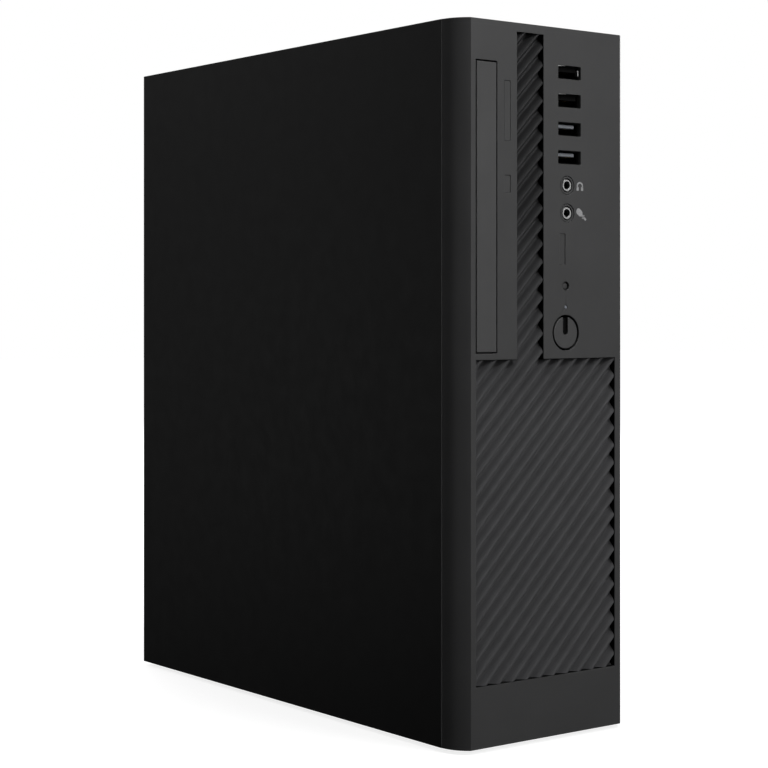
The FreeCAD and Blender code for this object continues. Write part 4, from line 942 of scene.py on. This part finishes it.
def add_socket_shell(shape, low, high, openings):
    """Adds a metal shell, open towards the back, with a closed body behind it."""
    floor = high.y - SOCKET_DEPTH
    holes = [rectangle(left, right, bottom, top, 0.4) for left, right, bottom, top in openings]
    shape.take(plate(rectangle(low.x, high.x, low.z, high.z, 0.5), holes, floor, high.y, 0.15))
    shape.box((low.x, low.y, low.z), (high.x, floor, high.z), 0.3)


def add_usb_tongue(tongues, across, bottom, top, back):
    """Adds the upright tongue of one USB opening."""
    tongues.box((across, back - SOCKET_DEPTH, bottom),
                (across + TONGUE_THICK, back - TONGUE_SET_BACK, top), 0.2)


def rear_usb():
    """Two stacks of two sockets."""
    low, high = span("rear_usb_ports")
    tall, rim, tongue_gap = 14.5, 0.9, 1.7
    shape, tongues = Shape(), Shape()
    for bottom in (low.z, high.z - tall):
        top = bottom + tall
        openings = []
        for middle in (low.x + 4, high.x - 4):
            openings.append((middle - USB_HALF_OPEN, middle + USB_HALF_OPEN, bottom + rim, top - rim))
            add_usb_tongue(tongues, middle, bottom + tongue_gap, top - tongue_gap, high.y)
        add_socket_shell(shape, Vector((low.x, low.y, bottom)), Vector((high.x, high.y, top)), openings)
    shape.piece("rear_usb_shells", "case", "socket_metal", replaced=["rear_usb_ports"])
    tongues.piece("rear_usb_tongues", "case", "black_plastic")


def network_socket():
    """Network socket above two more USB sockets."""
    low, high = span("network_port")
    middle = (low.z + high.z) / 2
    openings = [(low.x + 1.5, low.x + 13, middle - 6, middle + 6)]
    tongues, contacts = Shape(), Shape()
    for across in (high.x - 11, high.x - 4):
        openings.append((across - USB_HALF_OPEN, across + USB_HALF_OPEN, middle - 6.3, middle + 6.3))
        add_usb_tongue(tongues, across, middle - 5.5, middle + 5.5, high.y)
    shape = Shape()
    add_socket_shell(shape, low, high, openings)
    shape.piece("network_shell", "case", "socket_metal", replaced=["network_port"])
    tongues.piece("network_usb_tongues", "case", "black_plastic")
    contact_thick = 0.45
    for contact in range(8):
        height = middle - 3.6 + contact
        contacts.box((low.x + 9.5, high.y - 11.5, height),
                     (low.x + 12.6, high.y - 3, height + contact_thick), 0.05, 1)
    contacts.piece("network_contacts", "case", "socket_metal", GOLD)
    # Liner and floor painted as the shade inside the network opening
    left, right, bottom, top = openings[0]
    thick, grow = 0.3, 0.1
    inside = rectangle(left + thick, right - thick, bottom + thick, top - thick)
    outside = rectangle(left - grow, right + grow, bottom - grow, top + grow)
    floor = high.y - SOCKET_DEPTH
    liner = Shape().take(plate(outside, [inside], floor + 0.1, high.y - 0.4, 0))
    liner.box((left, floor, bottom), (right, floor + 0.2, top), 0.02)
    liner.piece("network_shade_liner", "case", "black_plastic", SHADE)


def video_socket():
    """Blue D-shaped socket with fifteen holes between two hexagonal posts."""
    low, high = span("video_port")
    middle_x, middle_z = (low.x + high.x) / 2, (low.z + high.z) / 2
    half_wide, long_half, short_half = 3.9, 8.6, 7.2
    outline = [(middle_x - half_wide, middle_z - long_half), (middle_x + half_wide, middle_z - short_half),
               (middle_x + half_wide, middle_z + short_half), (middle_x - half_wide, middle_z + long_half)]
    holes, hole_pitch, hole_radius = [], 2.2, 0.5
    for row in (-1, 0, 1):
        first = middle_z - (3.6 if row == 0 else 4.6)
        for column in range(5):
            holes.append(circle(middle_x + hole_pitch * row, first + hole_pitch * column, hole_radius, 10))
    floor = high.y - 2
    insert = Shape().take(plate(outline, holes, floor, high.y, 0.15))
    insert.box((low.x, low.y, middle_z - 9), (high.x, floor, middle_z + 9), 0.3)
    insert.piece("video_insert", "case", "blue_plastic", replaced=["video_port"])
    flange = Shape().take(plate(rectangle(low.x + 0.5, high.x - 0.5, low.z, high.z, 1), [outline],
                                high.y - 2.6, high.y - 1.8, 0.1))
    for height in (middle_z - 12.5, middle_z + 12.5):
        flange.ring(1.3, 2.5, high.y - 2.6, high.y, (middle_x, 0, height), sides=6)
    flange.piece("video_flange", "case", "socket_metal", smooth_below=20)


def sound_sockets():
    """Three audio sockets in one housing."""
    low, high = span("sound_port")
    middle = (low.z + high.z) / 2
    places = [low.x + 6, (low.x + high.x) / 2, high.x - 6]
    outline = rectangle(low.x, high.x, low.z, high.z, 0.6)
    holes = [circle(across, middle, 3.2, 32) for across in places]
    floor = high.y - 10
    shape = Shape().take(plate(outline, holes, floor, high.y - 0.6, 0.2))
    shape.box((low.x, low.y, low.z), (high.x, floor, high.z), 0.3)
    shape.piece("sound_housing", "case", "grey_plastic", replaced=["sound_port"])
    rings = Shape()
    for across in places:
        rings.ring(1.8, 3.0, floor + 1, high.y, (across, 0, middle), bevel=0.3)
    rings.piece("sound_rings", "case", "socket_metal")


# ---- Inside of the case ----

def hard_drive():
    """Cast base with a rounded cover plate, its screws and the raised motor boss."""
    low, high = span("hard_drive")
    step = low.x + 3
    base = Shape().box((step, low.y, low.z), high, 0.8, 3)
    base.piece("drive_casting", "case", "cast_alloy", replaced=["hard_drive"])
    outline = rectangle(low.y + 4, high.y - 12, low.z + 3, high.z - 3, 9, 8)
    cover = Shape().prism(outline, low.x + 0.8, step + 0.2, "x")
    dish_radius, boss_radius = 42, 11
    boss = (0, low.y + 56, (low.z + high.z) / 2)
    cover.disc(dish_radius, low.x + 0.4, low.x + 1, boss, "x", 0.3, 96)
    cover.disc(boss_radius, low.x, low.x + 0.6, boss, "x", 0.25)
    cover.piece("drive_cover", "case", "bare_steel")
    screws = Shape()
    for along in (low.y + 9, (low.y + high.y) / 2 - 4, high.y - 17):
        for height in (low.z + 8, high.z - 8):
            screws.ring(0.9, 2.6, low.x, low.x + 1, (0, along, height), "x", 0.25, 24)
    screws.piece("drive_screws", "case", "screw_metal")


def drive_stampings():
    """Stiffening steps and screws on the side of the disc drive's housing."""
    low, high = span("drive_housing")
    shape = Shape()
    for inset, height in ((0, 0.5), (14, 0.9)):
        front, back = low.y + 22 + inset, high.y - 8 - inset
        outline = rectangle(front, back, low.z + 8 + inset, high.z - 8 - inset, 6, 6)
        shape.prism(outline, low.x - height, low.x, "x")
    shape.piece("drive_steps", "case", "bare_steel", smooth_below=20)
    screws = Shape()
    for along in (low.y + 18, high.y - 4):
        for height in (low.z + 4, high.z - 4):
            screws.ring(0.6, 1.8, low.x - 0.6, low.x, (0, along, height), "x", 0.2, 20)
    screws.piece("drive_housing_screws", "case", "screw_metal")


# Fields of small chips on the main board: front, back, bottom, top, how many
CHIP_FIELDS = ((-66, -44, 110, 215, 26), (-8, 50, 180, 202, 16), (85, 112, 82, 198, 34))
CHIP_SIZES = ((1.6, 0.8), (3, 1.6), (5, 4), (7, 7))
# Rows of capacitors: how many, radius, height off the board, place of the first, step to the next
CAN_ROWS = (
    (8, 3.6, 10, (107, 208), (0, 11)),
    (4, 3, 8, (-46, 120), (0.5, 10)),
    (4, 3, 8, (66, 168), (10, 0)),
)
PIN_PITCH, PIN_THICK = 2.54, 0.64
PINS_FRONT, PINS_BOTTOM = -60, 81
CARD_SLOT_HEIGHTS = (150.4, 130.08, 109.76)


def board_parts():
    """Chips, capacitors, coils and pin headers of the main board."""
    face = span("main_board")[0].x
    draws = random.Random(4)
    chips, cans, coils, pins = Shape(), Shape(), Shape(), Shape()
    for near, far, bottom, top, count in CHIP_FIELDS:
        for chip in range(count):
            along, height = draws.uniform(near, far), draws.uniform(bottom, top)
            long, wide = draws.choice(CHIP_SIZES)
            chips.box((face - draws.uniform(0.6, 1.4), along - long / 2, height - wide / 2),
                      (face, along + long / 2, height + wide / 2), 0.1, 1)
    for count, radius, tall, (along, height), (step_along, step_up) in CAN_ROWS:
        for spot in range(count):
            origin = (0, along + step_along * spot, height + step_up * spot)
            cans.disc(radius, face - tall, face, origin, "x", 0.5, 28)
    for spot in range(6):
        near = 16 + 13 * spot
        coils.box((face - 7, near, 299), (face, near + 9.5, 308.5), 0.6)
    for row in range(2):
        for pin in range(10):
            near, bottom = PINS_FRONT + PIN_PITCH * pin, PINS_BOTTOM + PIN_PITCH * row
            pins.box((face - 8, near, bottom), (face, near + PIN_THICK, bottom + PIN_THICK), 0.08, 1)
    chips.piece("board_chips", "case", "black_plastic")
    cans.piece("board_capacitors", "case", "cast_alloy")
    coils.piece("board_coils", "case", "grey_plastic")
    pins.piece("board_pins", "case", "brass", GOLD)
    lips = Shape()
    low, high = span("card_slots")
    for height in CARD_SLOT_HEIGHTS:
        near = low.y if height == CARD_SLOT_HEIGHTS[0] else high.y - 25
        for middle in (height - 2.2, height + 2.2):
            lips.box((low.x - 0.8, near, middle - 1), (low.x + 0.5, high.y, middle + 1), 0.2)
    lips.piece("card_slot_lips", "case", "black_plastic")


def memory_chips():
    """Chips on both faces of each memory module."""
    low, high = span("memory_modules")
    chips = Shape()
    chip_tall, pitch = 9.5, 15.2
    for middle in (low.y + 1.6, high.y - 1.6):
        for front, back in ((middle - 2.2, middle - 1.6), (middle + 1.6, middle + 2.2)):
            for chip in range(8):
                bottom = low.z + 9 + pitch * chip
                chips.box((low.x + 6, front, bottom), (low.x + 17, back, bottom + chip_tall), 0.12)
    chips.piece("memory_chip_rows", "case", "black_plastic")


# Lowest and highest corners: three on the board, one on each drive, the power plug, the supply's exit
PLUGS = (
    ((36, 30, 164), (45, 42, 172)),
    ((36, 14, 161), (45, 26, 169)),
    ((36, -67, 90), (45, -57, 104)),
    ((-38, 29, 150), (-30, 36, 170)),
    ((-40, -11, 188), (-34, -3, 204)),
    ((24, -65, 224.5), (32, -55, 275.5)),
    ((19, -45, 35), (29, -41, 45)),
)


def cable_plugs():
    """Plugs on the ends of the cables inside the case, and the contacts' sleeves of the power plug."""
    shape = Shape()
    for low, high in PLUGS:
        shape.box(low, high, 0.5)
    for pin in range(12):
        shape.box((22.5, -63.5, 226 + 4.1 * pin), (24.4, -56.5, 229.2 + 4.1 * pin), 0.4)
    shape.piece("cable_plug_set", "case", "black_plastic")


# ---- CAD nodes that stay ----

SOFT_EDGES = {"side_cover": 0.5, "case_top": 0.3, "case_bottom": 0.3, "disc_door": 0.3, "eject_button": 0.3,
              "feet": 0.5}
SOFT_EDGE = 0.15
WELD_GAP = 0.002
FLAT_WITHIN, EDGE_FROM = math.radians(0.5), math.radians(40)
# Painted shade on the front USB shells, which are metal, and on the black upper tongues, for the shade deep
# in their sockets; the disc door takes the paler cap paint, painted light
NODE_PAINTS = {"upper_usb_tongues": SHADE, "usb_shells": SHADE, "eject_button": INSERT, "disc_door": CAP}
NODE_SLOTS = {part["node"]: part["material_slot"] for part in frame["record"]["subparts"]}
AS_THEY_ARE = ("supply_fan_rotor", "cooler_fan_rotor", "fan_guard")


def dress_nodes():
    """Gives every CAD node its material and small rounded edges."""
    for name, node in frame["nodes"].items():
        slot = NODE_SLOTS[name]
        for index in range(len(node.data.materials)):
            node.material_slots[index].material = NODE_PAINTS.get(name, MATERIALS[slot])
        if name in AS_THEY_ARE:
            continue
        weld = node.modifiers.new("weld", "WELD")
        weld.merge_threshold = WELD_GAP * MM
        if name == "side_cover":
            flatten = node.modifiers.new("flatten", "DECIMATE")
            flatten.decimate_type = "DISSOLVE"
            flatten.angle_limit = FLAT_WITHIN
        bevel = node.modifiers.new("bevel", "BEVEL")
        bevel.width = SOFT_EDGES.get(name, SOFT_EDGE) * MM
        bevel.segments = 2
        bevel.limit_method = "ANGLE"
        bevel.angle_limit = EDGE_FROM
        node.modifiers.new("normals", "WEIGHTED_NORMAL").keep_sharp = True


for build in (make_camera, make_stage, dress_nodes, bezel, ribs, power_button, reset_button, audio_jacks,
              usb_contacts, printed_icons, front_lamps, thumbscrews, rear_usb, video_socket, network_socket,
              sound_sockets, hard_drive, drive_stampings, board_parts, memory_chips, cable_plugs):
    build()
